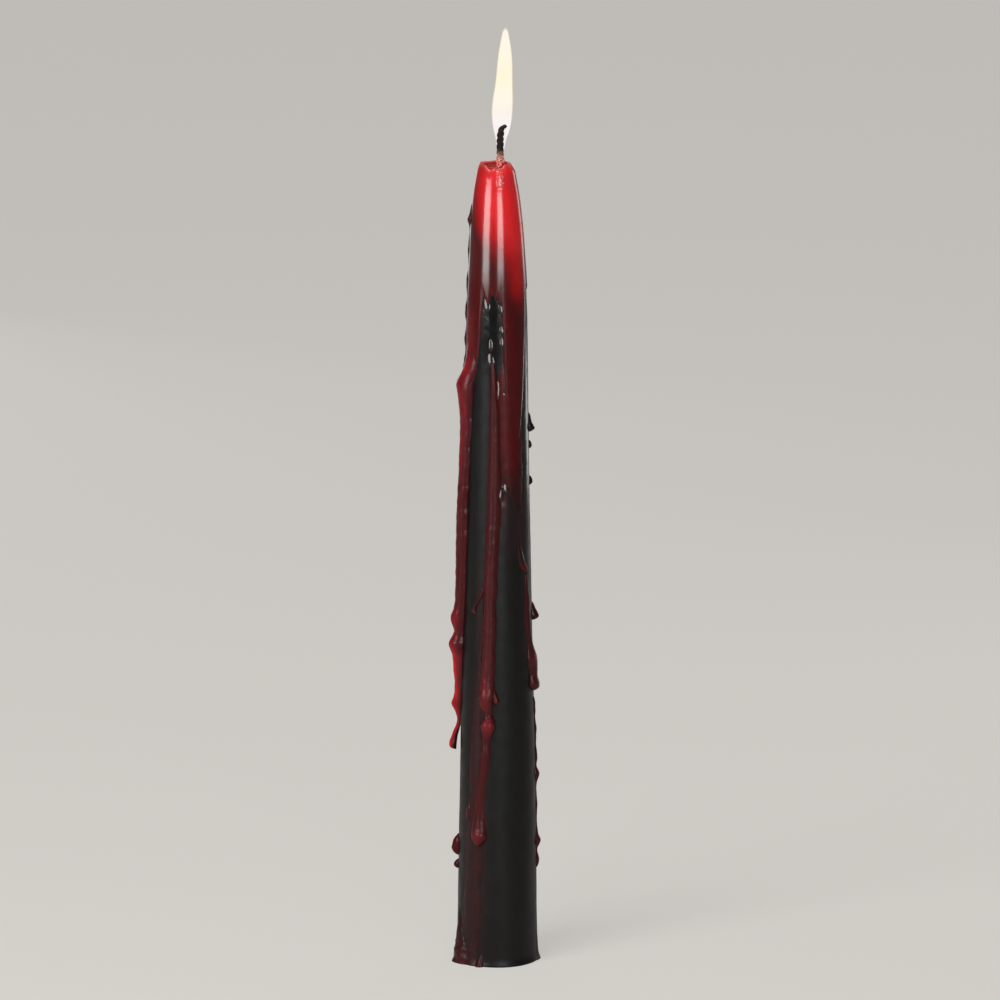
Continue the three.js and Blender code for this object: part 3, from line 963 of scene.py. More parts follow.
def build_run(
    name,
    stations,
    bloom=0.2,
    around=40,
    step=0.35,
    ragged=0.06,
    rough=0.05,
    seed=1,
    soft=None,
    fade=0.25,
):
    """A wax run drawn out of a ball and wrapped on the wall.

    The stations are the rows of one of the tables below. A thick narrow run has a round back,
    and a thin wide one a feathered edge, unless soft says otherwise. bloom is how dull its skin
    is, and fade how much its colour dies away towards its edges. around is how many faces go
    round it, and step how far apart its rings are. ragged is how much its edges wander, rough
    how lumpy its back is, and seed picks the lumps.
    """
    full = np.array([(*station, 0)[:6] for station in stations], float)
    steps = np.diff(full[:, :2], axis=0)
    sweep = np.radians(steps[:, 1]) * wall_radius(full[1:, 0], full[1:, 1])
    reach = np.concatenate([[0], np.cumsum(np.hypot(steps[:, 0], sweep))])
    rows = max(10, int(reach[-1] / step))
    piece, row, across, out = drawn_ball(name, around, rows)
    along = row / rows * reach[-1]

    # Each ring takes the values of its place, the ends are rounded off and the edges wander.
    z, bearing, half, thick, red, clear = smooth_through(reach, full)(along).T
    cap = min(RUN_END, reach[-1] / 3)
    from_end = np.minimum(along, reach[-1] - along)
    fullness = np.sqrt(1 - (1 - np.clip(from_end / cap, 0, 1)) ** 2)
    zero = 0 * along
    line = np.stack([along, zero, zero], 1)
    wander = lumps(line, 4, seed)
    flutter = lumps(np.stack([along, across * 2, zero], 1), 1.6, seed + 3)
    if soft is None:
        soft = 0.52 + 0.48 * (1 - smooth_step(thick / half, 0.3, 0.9))
    half = half * fullness * (1 + ragged * 2 * wander + ragged * flutter)
    clear = np.clip(clear, 0, None)

    # From its bonded edges the wax rises to a crest, and has a back where it hangs clear.
    wall = wall_radius(z, bearing) + clear
    turn = bearing + np.degrees(across * half / wall) + 10 * ragged * wander
    wall = wall_radius(z, turn) + clear
    crest = np.where(out > 0, np.clip(out, 0, 1) ** (2 * soft), 0)
    crest *= 1 + 0.25 * across * lumps(line, 5, seed + 5)
    bond = BOND * (1 - smooth_step(clear, 0.05, 0.4))
    back = thick * 0.45 * smooth_step(clear, 0.1, 0.5) * (1 - np.sqrt(1 - across**2 * 0.999))
    r = wall - bond + back + (thick * fullness + bond - back) * crest
    points = around_wall(r, turn, z)
    bumps = lumps(points, 1.8, seed + 6) + 0.4 * lumps(points, 0.6, seed + 9)
    r = r + 1.6 * rough * bumps * crest * np.clip(thick, 0.25, 1.5)
    z = np.maximum(z, 0)
    set_points(piece, around_wall(r, turn, z))

    # Red shows where the wax is thick, and dies away towards the edges.
    depth = red * (0.45 + 0.55 * crest * np.clip(thick * fullness / 1.2, 0.35, 1.1))
    shade = 1 - fade * (1 - np.clip(crest, 0, 1))
    streaks = 1 + 0.5 * lumps(points * [1, 1, 0.12], 0.9, seed + 12)
    paint(piece, "wax_depth", np.clip(depth * shade * (0.6 + 0.4 * streaks), 0, 1))
    paint(piece, "bloom", np.clip(bloom * shade * streaks, 0, 1))
    return piece


# The runs, from the top down. A row is a height, a bearing, a half width, a thickness, a redness,
# and how far from the wall the wax hangs, where it hangs clear of it.
# Low on the left run, where it hangs clear, the redness is 1: redder for the thick wax and partly
# painted light shining through it.
LEFT_RUN = [
    (179, -62, 1.6, 0.05, 0.85),
    (174, -62, 2.6, 0.35, 0.85),
    (169, -64, 3.6, 0.9, 0.78),
    (165.5, -69, 3.8, 1.8, 0.7),
    (162.5, -74, 3.6, 2.9, 0.68),
    (158.5, -73, 3.3, 2.5, 0.68),
    (152, -73, 2.9, 1.9, 0.64),
    (146, -74, 2.6, 1.9, 0.6),
    (137, -76, 2.4, 2.1, 0.55),
    (130, -79, 2.4, 2.4, 0.5),
    (116, -82, 2.3, 2.5, 0.46),
    (104.7, -85, 2.2, 2.4, 0.5),
    (99.5, -86, 2.1, 2.6, 0.6),
    (96.4, -88, 2.3, 3.5, 0.75),
    (92.8, -88, 1.8, 2.4, 0.62),
    (89.2, -90, 2.3, 3.7, 0.7),
    (86, -90, 1.9, 2.8, 0.95),
    (81, -91, 1.7, 2.3, 1),
    (76, -92, 1.6, 1.9, 1),
    (73.9, -93, 1.7, 2.2, 1),
    (72, -94, 1.8, 2.7, 1),
    (69.5, -95, 1.3, 1.6, 1),
    (67.2, -96, 0.9, 1, 1, 0.1),
    (65, -97, 0.9, 1.4, 1, 0.35),
    (62.5, -97, 1, 1.8, 1, 0.9),
    (60.5, -97, 1.2, 2.1, 1, 1.1),
    (58.8, -97, 1, 1.9, 1, 1.2),
]
LEFT_UPPER_RUN = [
    (212, -86, 0.7, 0.1, 0.35),
    (209, -88, 1, 0.55, 0.6),
    (207.6, -88, 1.1, 0.85, 0.7),
    (205.6, -90, 0.8, 0.35, 0.3),
    (199, -90, 0.9, 0.5, 0.2),
    (194.5, -91, 0.7, 0.3, 0.15),
    (190, -91, 1, 0.65, 0.2),
    (186, -91, 0.8, 0.35, 0.2),
    (182, -91, 1.1, 0.75, 0.25),
    (178.6, -92, 0.8, 0.35, 0.25),
    (174.4, -92, 1.1, 0.7, 0.3),
    (171, -91, 0.9, 0.4, 0.35),
    (168.4, -90, 1.1, 0.8, 0.4),
    (165.5, -88, 1.2, 1.1, 0.5),
]
FRONT_RUN = [
    (170.5, -9, 0.5, 0.25, 0.2),
    (166.5, -7.5, 0.8, 0.6, 0.3),
    (162, -6.5, 1, 0.75, 0.35),
    (157, -6, 1.4, 0.7, 0.45),
    (148, -5.5, 1.6, 0.8, 0.48),
    (138, -5.5, 1.8, 0.9, 0.48),
    (128.6, -6, 2.1, 1, 0.42),
    (120, -9, 2.1, 1.1, 0.36),
    (110, -11.5, 2.05, 1.1, 0.45),
    (103.5, -12.8, 2, 1.1, 0.42),
    (92, -14.5, 2.05, 1.2, 0.45),
    (84, -16, 2.1, 1.3, 0.48),
    (79, -17.5, 2.2, 1.5, 0.55),
    (75.8, -18, 2.35, 1.95, 0.52),
    (73.4, -17, 1.7, 1.4, 0.55),
    (71.4, -14.5, 1.25, 0.95, 0.5),
    (68.3, -14.5, 2.05, 1.9, 0.65),
    (65.9, -16, 1.6, 1.3, 0.55),
    (63.8, -17.5, 1.4, 0.8, 0.47),
    (60.6, -18, 1.6, 1, 0.47),
    (57.5, -20, 1.4, 0.65, 0.4),
    (53, -23.5, 1.5, 0.65, 0.38),
    (47, -27.5, 1.7, 0.6, 0.36),
    (42.5, -29, 1.9, 0.8, 0.4),
    (39.2, -29, 2.3, 1.3, 0.5),
    (37, -28.5, 2.6, 1.75, 0.55),
    (35, -28.5, 1.6, 1.3, 0.5),
    (33.8, -28, 0.9, 0.7, 0.45),
]
FRONT_BRANCH = [
    (107, -24, 0.7, 0.5, 0.35),
    (104.6, -27.5, 0.65, 0.5, 0.35),
    (102.6, -35, 0.6, 0.5, 0.35),
    (101.2, -41, 0.65, 0.6, 0.4),
    (99.9, -43, 0.75, 0.75, 0.4),
    (99.2, -40, 0.7, 0.6, 0.4),
    (99.5, -36, 0.5, 0.4, 0.35),
]
FRONT_SIDE_BEAD = [
    (78.6, -6, 0.6, 0.5, 0.4),
    (76.6, -4, 0.9, 0.9, 0.45),
    (75, -2, 1, 1.1, 0.5),
    (73.8, -2, 0.7, 0.7, 0.45),
]
RIGHT_FILM = [
    (170, 24, 2.4, 0.05, 0.42),
    (165, 24, 3.6, 0.2, 0.42),
    (155, 25, 4, 0.28, 0.38),
    (146, 26, 3.9, 0.34, 0.34),
    (140, 27, 3.7, 0.4, 0.27),
    (136.5, 29, 3.3, 0.4, 0.16),
    (133.6, 33, 2.6, 0.32, 0.1),
    (130.5, 38, 1.9, 0.2, 0.07),
    (127, 41, 1.4, 0.08, 0.05),
]
RIGHT_FADING_FILM = [
    (119, 42, 0.7, 0.05, 0.1),
    (116.5, 44, 1, 0.25, 0.05),
    (114, 47, 1.2, 0.5, 0.05),
    (112, 52, 1.3, 0.75, 0.3),
    (110.4, 57, 1, 0.7, 0.45),
]
RIGHT_RUN = [
    (110, 60, 0.8, 0.3, 0.3),
    (104, 62, 1.4, 0.4, 0.4),
    (98, 62, 1.6, 0.55, 0.45),
    (93, 64, 1.4, 0.65, 0.5),
    (90.4, 68, 1.3, 0.7, 0.45),
    (88.4, 71, 1.8, 1, 0.5),
    (86.4, 73, 2.6, 1.5, 0.55),
    (83.5, 75, 2.6, 1.6, 0.55),
    (81, 76, 2.2, 1.5, 0.5),
    (78.6, 77, 2.4, 1.9, 0.5),
    (77, 78, 1.9, 1.6, 0.45),
    (76.2, 78, 1.2, 0.9, 0.45),
]
RIGHT_LOWER_RUN = [
    (75, 78, 0.5, 0.3, 0.2),
    (72, 84, 0.7, 0.5, 0.25),
    (68, 86, 0.6, 0.3, 0.25),
    (65, 88, 0.8, 0.55, 0.25),
    (61, 87, 0.6, 0.3, 0.25),
    (57, 88, 0.8, 0.55, 0.25),
    (54.5, 88, 0.7, 0.35, 0.3),
    (52.3, 88, 1.1, 1.05, 0.35),
    (50, 88, 0.7, 0.35, 0.3),
    (44, 88, 0.6, 0.35, 0.25),
    (38, 87, 0.6, 0.3, 0.25),
    (35, 87, 0.9, 0.7, 0.5),
    (33.2, 87, 1.2, 1.3, 0.55),
    (31.6, 87, 0.7, 0.45, 0.4),
    (27.6, 87, 0.9, 0.75, 0.3),
    (25.6, 87, 0.6, 0.25, 0.25),
]
SMALL_DRIPS = {
    "wax_drip_right_1": [
        (154, 89, 0.7, 0.3, 0.05),
        (151, 90, 1.1, 1, 0.05),
        (149.4, 90, 1.1, 1.65, 0.05),
        (148.4, 90, 0.7, 1.1, 0.05),
    ],
    "wax_drip_right_2": [
        (146.3, 91, 0.6, 0.35, 0.05),
        (144.6, 91, 0.8, 0.85, 0.05),
        (143.7, 91, 0.5, 0.5, 0.05),
    ],
    "wax_drip_right_3": [
        (136.4, 90, 0.6, 0.35, 0.05),
        (134.6, 90, 0.8, 0.85, 0.05),
        (133.6, 90, 0.5, 0.5, 0.05),
    ],
    "wax_drip_right_4": [
        (101, 92, 0.6, 0.3, 0.1),
        (98.6, 93, 1, 1.2, 0.1),
        (96.8, 93, 1.2, 1.95, 0.12),
        (95.6, 93, 0.9, 1.5, 0.12),
    ],
    "wax_drip_left_1": [
        (35.3, -92, 0.7, 0.5, 0.3),
        (32.5, -92, 1.3, 1.7, 0.33),
        (30.4, -92, 1.3, 1.8, 0.37),
        (29, -92, 0.8, 1, 0.37),
    ],
    "wax_drip_left_2": [
        (28, -92, 0.7, 0.6, 0.15),
        (26.4, -92, 1, 1.3, 0.15),
        (25.2, -92, 0.7, 0.8, 0.15),
    ],
}
# Small set drops in and below the black patch in front, where the light catches.
FRONT_SPARKS = [
    [(187, -24, 0.8, 0.02, 0), (185, -21.5, 1.25, 0.26, 0), (183.2, -19, 1.1, 0.42, 0)],
    [(186, 6, 0.6, 0.02, 0), (184.4, 8, 0.9, 0.22, 0), (182.6, 9.5, 0.8, 0.4, 0)],
    [(180, 10, 0.7, 0.02, 0), (178.6, 10.5, 1, 0.18, 0), (177, 10.5, 0.9, 0.34, 0)],
    [(176.8, 10.5, 0.7, 0.02, 0), (175.2, 10.5, 1, 0.18, 0), (173.4, 10.5, 0.9, 0.36, 0)],
    [(176, -13, 0.5, 0.02, 0), (174.2, -12.5, 0.8, 0.16, 0), (172.4, -12, 0.7, 0.3, 0)],
    [(172, -14, 0.8, 0.02, 0), (170, -12.5, 1.25, 0.26, 0), (168.2, -11, 1.1, 0.42, 0)],
    [(164.4, 0, 0.5, 0.02, 0.2), (161.8, 1, 0.9, 0.22, 0.2), (159, 1, 0.8, 0.45, 0.3)],
    [(162.6, 14, 0.8, 0.02, 0.2), (161.2, 14, 1.1, 0.16, 0.2), (159.6, 14, 1, 0.3, 0.2)],
    [(147.4, -1, 0.6, 0.02, 0.5), (145.6, 0, 0.9, 0.2, 0.5), (143.8, 0, 0.8, 0.3, 0.5)],
    [(140.2, 0, 0.6, 0.02, 0.5), (138.4, 0.5, 0.9, 0.2, 0.5), (136.6, 1, 0.8, 0.3, 0.5)],
    [(136, 14, 0.7, 0.02, 0), (134.5, 15.5, 1.15, 0.25, 0), (133, 16, 1, 0.4, 0)],
    [(135, 4, 0.7, 0.02, 0), (133.1, 4.5, 1.1, 0.26, 0), (131, 4, 0.9, 0.5, 0)],
]
LOW_FILM = [
    (103, -24, 0.4, 0.3, 0.2),
    (92, -27.5, 0.7, 0.4, 0.2),
    (83.6, -29, 1, 0.4, 0.2),
    (77.9, -30.5, 1.4, 0.35, 0.22),
    (70.7, -32, 2, 0.3, 0.24),
    (63.5, -34.5, 2.4, 0.28, 0.22),
    (55, -36, 2.6, 0.28, 0.22),
    (46, -35.5, 3.2, 0.28, 0.22),
    (38, -36, 3.7, 0.3, 0.21),
    (29, -38.5, 4, 0.28, 0.19),
    (20, -41, 4.3, 0.3, 0.18),
    (11, -43.5, 4.5, 0.33, 0.14),
    (4, -45, 4.6, 0.36, 0.14),
    (-1.5, -45, 4.4, 0.36, 0.14),
]
FOOT_BEAD = [
    (3.6, -24.5, 0.5, 0.15, 0.15),
    (2.2, -25.5, 1, 0.45, 0.15),
    (0.9, -26.5, 1.25, 0.7, 0.2),
    (-1, -27.5, 1.1, 0.65, 0.2),
]
LOW_FILM_BEAD = [
    (45.6, -47.5, 0.7, 0.2, 0.4),
    (43.9, -48.5, 1.2, 0.5, 0.5),
    (42.2, -49, 1.2, 0.5, 0.5),
    (40.4, -48.5, 0.7, 0.25, 0.4),
]
LEFT_POOL = [
    (16, -72, 0.9, 0.12, 0.1),
    (12, -71, 1.6, 0.35, 0.1),
    (8.5, -69, 2.4, 0.75, 0.1),
    (5.4, -67, 3.2, 1.2, 0.12),
    (2.8, -66, 4.2, 1.7, 0.16),
    (1, -65, 4.7, 1.75, 0.34),
    (-1.6, -65, 4.4, 1.4, 0.4),
]
RIGHT_POOL = [
    (7, 84, 1, 0.08, 0.1),
    (3.4, 84, 2.4, 0.2, 0.1),
    (1.2, 84, 2.8, 0.3, 0.1),
    (-1.4, 84, 2.6, 0.25, 0.1),
]
BACK_LEFT_RUN = [
    (181, -149, 0.8, 0.3, 0.5),
    (170, -150, 1.3, 0.8, 0.47),
    (150, -152, 1.5, 1, 0.43),
    (128, -153, 1.6, 1.1, 0.43),
    (110, -154, 1.5, 1.1, 0.43),
    (98, -155, 1.7, 1.5, 0.54),
    (94, -156, 2, 2, 0.65),
    (91, -156, 1.2, 1.2, 0.61),
]
BACK_RIGHT_RUN = [
    (193, 147, 0.9, 0.25, 0.58),
    (184, 148, 1.4, 0.6, 0.54),
    (170, 149, 1.6, 0.9, 0.47),
    (150, 151, 1.6, 1, 0.43),
    (134, 152, 1.6, 1.2, 0.47),
    (127, 152, 2, 1.9, 0.65),
    (123.5, 152, 1.6, 1.5, 0.65),
    (121.3, 152, 0.8, 0.8, 0.58),
]


def finish_run(piece, node):
    """Gives a run the wax that all runs share."""
    wax = bpy.data.materials.get("set_run_wax") or set_run_wax()
    finish(piece, wax, "run_wax", node)


def build_left_runs():
    """The long beaded run with its hanging tail, and the thin one above it."""
    run = build_run("wax_run_left_beaded", LEFT_RUN, 0.03, around=48, ragged=0.05, seed=2)
    finish_run(run, "wax_run_left")
    upper = build_run(
        "wax_run_left_upper_thin", LEFT_UPPER_RUN, 0.2, ragged=0.14, rough=0.12, seed=3
    )
    finish_run(upper, "wax_run_left_upper")


def build_front_runs():
    """The long run, its bead and its hook, and the drops, which shine as molten wax does."""
    long_run = build_run("wax_run_front_beaded", FRONT_RUN, 0.18, around=48, seed=5)
    side_bead = build_run("side_bead", FRONT_SIDE_BEAD, 0.2, step=0.15, seed=6)
    finish_run(join("wax_run_front_beaded", [long_run, side_bead]), "wax_run_front")
    branch = build_run("wax_run_front_hook", FRONT_BRANCH, 0.5, step=0.2, seed=7)
    finish_run(branch, "wax_run_front_branch")
    sparks = [
        build_run("spark", rows, 0, around=32, step=0.12, rough=0, seed=20 + i, soft=0.5)
        for i, rows in enumerate(FRONT_SPARKS)
    ]
    drops = join("wax_drops_front", sparks)
    red = np.empty(len(drops.data.vertices), np.float32)
    drops.data.attributes["wax_depth"].data.foreach_get("value", red)
    paint(drops, "redness", red)
    paint(drops, "wet", np.ones(len(red)))
    finish(drops, bpy.data.materials["red_molten_wax"], "red_wax")


def build_right_runs():
    """The broad film and the drip at its tip, the swollen run, and the thin one below it."""
    film = build_run("film", RIGHT_FILM, 0, around=64, ragged=0.08, seed=8, soft=0.75)
    drip = build_run("drip", RIGHT_FADING_FILM, 0.1, step=0.2, ragged=0.1, seed=9)
    finish_run(join("wax_film_right_broad", [film, drip]), "wax_film_right")
    run = build_run("wax_run_right_swollen", RIGHT_RUN, 0.3, ragged=0.1, seed=10)
    finish_run(run, "wax_run_right")
    lower = build_run(
        "wax_run_right_lower_thin", RIGHT_LOWER_RUN, 0.2, ragged=0.2, rough=0.12, seed=11
    )
    finish_run(lower, "wax_run_right_lower")


def build_back_runs():
    """Two plain runs on the hidden side."""
    left = build_run("wax_run_back_left_plain", BACK_LEFT_RUN, 0.3, seed=12)
    finish_run(left, "wax_run_back_left")
    right = build_run("wax_run_back_right_plain", BACK_RIGHT_RUN, 0.3, seed=13)
    finish_run(right, "wax_run_back_right")


def build_drips():
    """Small drips that set by themselves on both sides."""
    for i, (node, rows) in enumerate(SMALL_DRIPS.items()):
        drip = build_run(node + "_set", rows, 0, step=0.15, rough=0.08, seed=40 + i)
        finish_run(drip, node)


def build_foot_wax():
    """The thin film low in front with its two beads, and the wax that set at the foot."""
    film = build_run(
        "film", LOW_FILM, 0.8, around=64, ragged=0.1, rough=0.12, seed=14, soft=1.5, fade=1
    )
    bead = build_run("bead", FOOT_BEAD, 0.5, step=0.15, seed=17, fade=0.6)
    upper = build_run("upper_bead", LOW_FILM_BEAD, 0.2, step=0.15, seed=18)
    finish_run(join("wax_film_front_low_thin", [film, bead, upper]), "wax_film_front_low")
    left = build_run(
        "wax_pool_left_set",
        LEFT_POOL,
        0.45,
        around=64,
        step=0.2,
        ragged=0.1,
        rough=0.14,
        seed=15,
        fade=0.6,
    )
    finish_run(left, "wax_pool_left")
    right = build_run("wax_pool_right_set", RIGHT_POOL, 0.4, step=0.2, seed=16)
    finish_run(right, "wax_pool_right")


# The wick's middle line above the pool: height above the rim, and how far right of the offset.
WICK_LINE = [
    (-7.2, -0.1),
    (0, 0),
    (4, -0.05),
    (7, 0),
    (8.8, 0.2),
    (9.75, 0.6),
    (10.05, 1.1),
    (9.6, 1.55),
]
STRANDS = 3
# Along the wick for one turn of a strand, in millimetres, and how far out a strand lies and how
# thick it is, as shares of the wick's radius.
BRAID_PITCH = 4.6
STRAND_OUT = 0.42
STRAND_THICK = 0.64


def strand(x, y, z, radius, widths):
    """One strand of the wick through a line of points in millimetres, thinned by its widths."""
    curve = bpy.data.curves.new("strand", "CURVE")
    curve.dimensions = "3D"
    curve.bevel_depth = radius * MM
    curve.bevel_resolution = 3
    curve.use_fill_caps = True
    spline = curve.splines.new("POLY")
    spline.points.add(len(x) - 1)
    for point, px, py, pz, width in zip(spline.points, x, y, z, widths):
        point.co = (px * MM, py * MM, pz * MM, 1)
        point.radius = width
    piece = bpy.data.objects.new("strand", curve)
    bpy.context.collection.objects.link(piece)
    return piece


def build_wick():
    """Three strands laid round each other, thinning into the burnt hook."""
    s = sizes()
    line = np.array(WICK_LINE)
    reach = np.concatenate([[0], np.cumsum(np.hypot(*np.diff(line, axis=0).T))])
    at = smooth_through(reach, line)
    along = np.linspace(0, reach[-1], 150)
    rise, side = at(along).T
    ahead = at(along + 0.05) - at(along - 0.05)
    ahead /= np.linalg.norm(ahead, axis=1)[:, None]
    thin = 1 - 0.5 * smooth_step(along, reach[-1] - 3, reach[-1])
    thin = thin + 0.2 * smooth_step(rise, 2.2, 0)
    strands = []
    for k in range(STRANDS):
        turn = 2 * math.pi * (along / BRAID_PITCH + k / STRANDS)
        out = s["wick_radius"] * STRAND_OUT * thin
        x = s["wick_offset"] + side + out * np.cos(turn) * ahead[:, 0]
        z = s["height"] + rise - out * np.cos(turn) * ahead[:, 1]
        y = out * np.sin(turn)
        strands.append(strand(x, y, z, s["wick_radius"] * STRAND_THICK, thin))
    select(strands)
    bpy.ops.object.convert(target="MESH")
    piece = join("wick_braided", strands)
    points = points_of(piece)
    points += 0.06 * np.stack([lumps(points, 0.35, 60 + i) for i in range(3)], 1)
    set_points(piece, points)
    finish(piece, wick_cotton(), "wick", "wick")


# Flame outline: height and half width as shares of its whole height and widest radius, and how
# far right of the wick its middle is.
FLAME_OUTLINE = [
    (0, 0.3, 0.1),
    (0.04, 0.4, 0.12),
    (0.1, 0.53, 0.2),
    (0.17, 0.79, 0.33),
    (0.24, 0.955, 0.4),
    (0.325, 1, 0.47),
    (0.43, 0.965, 0.68),
    (0.52, 0.86, 0.9),
    (0.59, 0.8, 1.03),
    (0.74, 0.7, 1.23),
    (0.83, 0.58, 1.3),
    (0.9, 0.43, 1.33),
    (0.955, 0.3, 1.35),
    (0.985, 0.18, 1.36),
    (1, 0, 1.36),
]
# The light that the flame casts, in watts.
FLAME_WATTS = 0.008
# Nested shells: name, share of the width, share of the height, opacity above and beside the wick.
FLAME_SHELLS = [
    ("edge", 1, 1, 0.3, 0.012),
    ("body", 0.93, 0.985, 0.8, 0.6),
    ("heart", 0.85, 0.965, 0.97, 0.9),
]


def build_flame():
    """Nested shells of light. Beside the wick the inner ones are a thin sheet around it."""
    s = sizes()
    c = bpy.context.scene.candle_colours
    tints = {"edge": c.flame_edge, "body": c.flame_body, "heart": c.flame_heart}
    outline_at = smooth_through(
        [row[0] for row in FLAME_OUTLINE], [row[1:] for row in FLAME_OUTLINE]
    )
    bottom = s["flame_bottom"]
    height = s["flame_top"] - bottom
    for name, width, tall, above, beside in FLAME_SHELLS:
        shares = np.concatenate([np.linspace(0, 0.94, 70), np.linspace(0.945, 1, 16)])
        rise = bottom + height * tall * shares
        radius = s["flame_radius"] * width * np.clip(outline_at(shares)[:, 0], 0, None)
        radius[-1] = 0
        piece = spun("flame_" + name, [(0, rise[0])] + list(zip(radius, rise)), 64)
        points = points_of(piece)
        if name != "edge":
            sheet = smooth_step(points[:, 2], s["wick_top"] + 0.2, s["wick_top"] + 5)
            points[:, 1] *= 0.1 + 0.9 * sheet
        points[:, 0] += s["wick_offset"] + outline_at((points[:, 2] - bottom) / height)[:, 1]
        set_points(piece, points)
        nodes = ["flame"] if name == "edge" else []
        glow = flame_glow("flame_" + name, tints[name], above, beside)
        finish(piece, glow, "flame", *nodes)
        piece.visible_shadow = False
    build_flame_light()


def build_flame_light():
    """The little light that the flame casts on the wax below it."""
    s = sizes()
    data = bpy.data.lights.new("flame_light", "POINT")
    data.energy = FLAME_WATTS
    data.color = linear("#ffd9a8")
    data.shadow_soft_size = 0.0025
    lamp = bpy.data.objects.new("flame_light", data)
    lamp.location = ((s["wick_offset"] + 0.8) * MM, 0, (s["wick_top"] + 6) * MM)
    bpy.context.collection.objects.link(lamp)


# The lamps: bearing in degrees, distance, height, width and tallness in metres, and watts.
LAMPS = {
    "broad_left": (-46, 0.6, 0.214, 0.28, 0.2, 0.78),
    "broad_front": (12, 0.9, 0.225, 0.37, 0.24, 1.22),
    "rim_right": (134, 0.6, 0.2, 0.16, 0.28, 0.13),
    "rim_right_low": (142, 0.6, 0.028, 0.22, 0.05, 0.04),
    "rim_left": (-158, 0.9, 0.26, 0.3, 0.5, 0.3),
    "overhead": (-35, 0.9, 1.6, 0.8, 0.8, 7.4),
}
# The height in metres that the lamps face, and the angle in degrees that each spreads its light.
LAMP_AIM = 0.16
LAMP_SPREAD = 140
# How bright the light from all round is, and the background as the camera sees it.
FILL_LEVEL = 0.15
BACKGROUND_LEVEL = 0.7


def face(thing, x, z):
    """Turns a lamp or a camera towards a point over the candle's middle line, in metres."""
    aim = Vector((x, 0, z)) - thing.location
    thing.rotation_euler = aim.to_track_quat("-Z", "Y").to_euler()


def softbox(name, bearing, distance, height, width, tall, watts):
    """An area lamp that faces the candle, seen only in its light and reflections."""
    turn = math.radians(bearing)
    data = bpy.data.lights.new(name, "AREA")
    data.shape = "RECTANGLE"
    data.size = width
    data.size_y = tall
    data.energy = watts
    data.spread = math.radians(LAMP_SPREAD)
    lamp = bpy.data.objects.new(name, data)
    lamp.location = (distance * math.sin(turn), -distance * math.cos(turn), height)
    face(lamp, 0, LAMP_AIM)
    lamp.visible_camera = False
    bpy.context.collection.objects.link(lamp)


def build_world():
    """Even light from all round, and a plain background that only the camera sees."""
    c = bpy.context.scene.candle_colours
    world = bpy.data.worlds.new("studio")
    bpy.context.scene.world = world
    world.use_nodes = True
    tree = world.node_tree
    tree.nodes.clear()
    seen = add_node(tree, "ShaderNodeLightPath").outputs["Is Camera Ray"]
    fill, back = (
        add_node(tree, "ShaderNodeBackground", {"Color": (*tint, 1), "Strength": level}).outputs[0]
        for tint, level in ((linear("#f2f2f2"), FILL_LEVEL), (c.floor, BACKGROUND_LEVEL))
    )
    shader = add_node(tree, "ShaderNodeMixShader", {0: seen, 1: fill, 2: back})
    add_node(tree, "ShaderNodeOutputWorld", {"Surface": shader.outputs[0]})


def build_camera():
    """The camera at the photograph's viewing angle, and plain colours."""
    g = bpy.context.scene.candle_stage
    data = bpy.data.cameras.new("camera")
    data.lens = g.lens
    data.sensor_width = 36
    camera = bpy.data.objects.new("camera", data)
    camera.location = (0, -g.camera_distance, g.camera_height)
    face(camera, g.aim_side, g.aim_height)
    bpy.context.collection.objects.link(camera)
    scene = bpy.context.scene
    scene.camera = camera
    scene.view_settings.view_transform = "Standard"


def build_stage():
    """The pale floor, the lamps, the background and the camera."""
    deselect()
    bpy.ops.mesh.primitive_circle_add(vertices=96, radius=8, fill_type="NGON")
    floor = bpy.context.object
    floor.name = "floor"
    floor.data.materials.append(plain_floor())
    for name, values in LAMPS.items():
        softbox(name, *values)
    build_world()
    build_camera()


class CANDLE_OT_coat(bpy.types.Operator):
    """Adds the dipped black coat"""

    bl_idname = "candle.coat"
    bl_label = "Black Coat"

    def execute(self, context):
        build_coat()
        return {"FINISHED"}


class CANDLE_OT_crown(bpy.types.Operator):
    """Adds the red crown with its rim, gutter and pool"""

    bl_idname = "candle.crown"
    bl_label = "Red Crown"

    def execute(self, context):
        build_crown()
        return {"FINISHED"}


class CANDLE_OT_left_runs(bpy.types.Operator):
    """Adds the beaded run on the left and the thin one above it"""

    bl_idname = "candle.left_runs"
    bl_label = "Left Runs"

    def execute(self, context):
        build_left_runs()
        return {"FINISHED"}


class CANDLE_OT_front_runs(bpy.types.Operator):
    """Adds the run down the front, its hook and the small drops beside it"""

    bl_idname = "candle.front_runs"
    bl_label = "Front Runs"

    def execute(self, context):
        build_front_runs()
        return {"FINISHED"}


class CANDLE_OT_right_runs(bpy.types.Operator):
    """Adds the broad film and the runs on the right"""

    bl_idname = "candle.right_runs"
    bl_label = "Right Runs"

    def execute(self, context):
        build_right_runs()
        return {"FINISHED"}


class CANDLE_OT_back_runs(bpy.types.Operator):
    """Adds the plain runs at the back"""

    bl_idname = "candle.back_runs"
    bl_label = "Back Runs"

    def execute(self, context):
        build_back_runs()
        return {"FINISHED"}


class CANDLE_OT_drips(bpy.types.Operator):
    """Adds the small drips on both sides"""

    bl_idname = "candle.drips"
    bl_label = "Drips"

    def execute(self, context):
        build_drips()
        return {"FINISHED"}


class CANDLE_OT_foot_wax(bpy.types.Operator):
    """Adds the thin film low in front and the wax set at the foot"""

    bl_idname = "candle.foot_wax"
    bl_label = "Foot Wax"

    def execute(self, context):
        build_foot_wax()
        return {"FINISHED"}


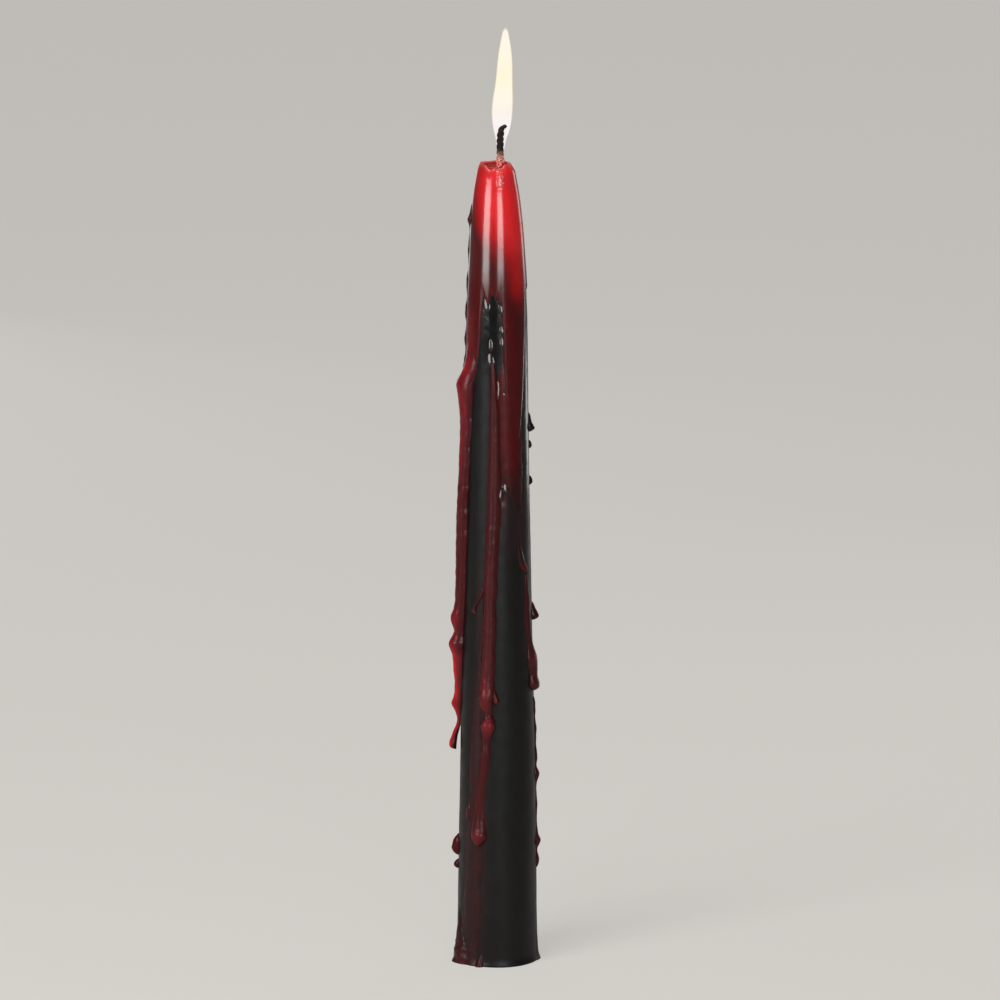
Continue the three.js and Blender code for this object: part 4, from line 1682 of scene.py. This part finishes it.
class CANDLE_OT_wick(bpy.types.Operator):
    """Adds the braided wick with its charred hook"""

    bl_idname = "candle.wick"
    bl_label = "Wick"

    def execute(self, context):
        build_wick()
        return {"FINISHED"}


class CANDLE_OT_flame(bpy.types.Operator):
    """Adds the flame as nested shells of light"""

    bl_idname = "candle.flame"
    bl_label = "Flame"

    def execute(self, context):
        build_flame()
        return {"FINISHED"}


class CANDLE_OT_stage(bpy.types.Operator):
    """Adds the floor, the lamps and the camera"""

    bl_idname = "candle.stage"
    bl_label = "Stage"

    def execute(self, context):
        build_stage()
        return {"FINISHED"}


PIECE_OPERATORS = [
    CANDLE_OT_stage,
    CANDLE_OT_coat,
    CANDLE_OT_crown,
    CANDLE_OT_left_runs,
    CANDLE_OT_front_runs,
    CANDLE_OT_right_runs,
    CANDLE_OT_back_runs,
    CANDLE_OT_drips,
    CANDLE_OT_foot_wax,
    CANDLE_OT_wick,
    CANDLE_OT_flame,
]


class CANDLE_PT_panel(bpy.types.Panel):
    bl_label = "Melted Candle"
    bl_space_type = "VIEW_3D"
    bl_region_type = "UI"
    bl_category = "Candle"

    def draw(self, context):
        layout = self.layout
        for kind in PIECE_OPERATORS:
            layout.operator(kind.bl_idname)
        for group in ("candle_sizes", "candle_colours", "candle_stage"):
            box = layout.box()
            values = getattr(context.scene, group)
            for name in type(values).__annotations__:
                box.prop(values, name)


PROPERTY_GROUPS = {
    "candle_sizes": CandleSizes,
    "candle_colours": CandleColours,
    "candle_stage": CandleStage,
}
CLASSES = [*PROPERTY_GROUPS.values(), *PIECE_OPERATORS, CANDLE_PT_panel]


def register():
    for kind in CLASSES:
        bpy.utils.register_class(kind)
    for name, kind in PROPERTY_GROUPS.items():
        setattr(bpy.types.Scene, name, PointerProperty(type=kind))


def unregister():
    for name in PROPERTY_GROUPS:
        delattr(bpy.types.Scene, name)
    for kind in reversed(CLASSES):
        bpy.utils.unregister_class(kind)


def main():
    register()
    for kind in PIECE_OPERATORS:
        group, name = kind.bl_idname.split(".")
        getattr(getattr(bpy.ops, group), name)()


if __name__ == "__main__":
    main()
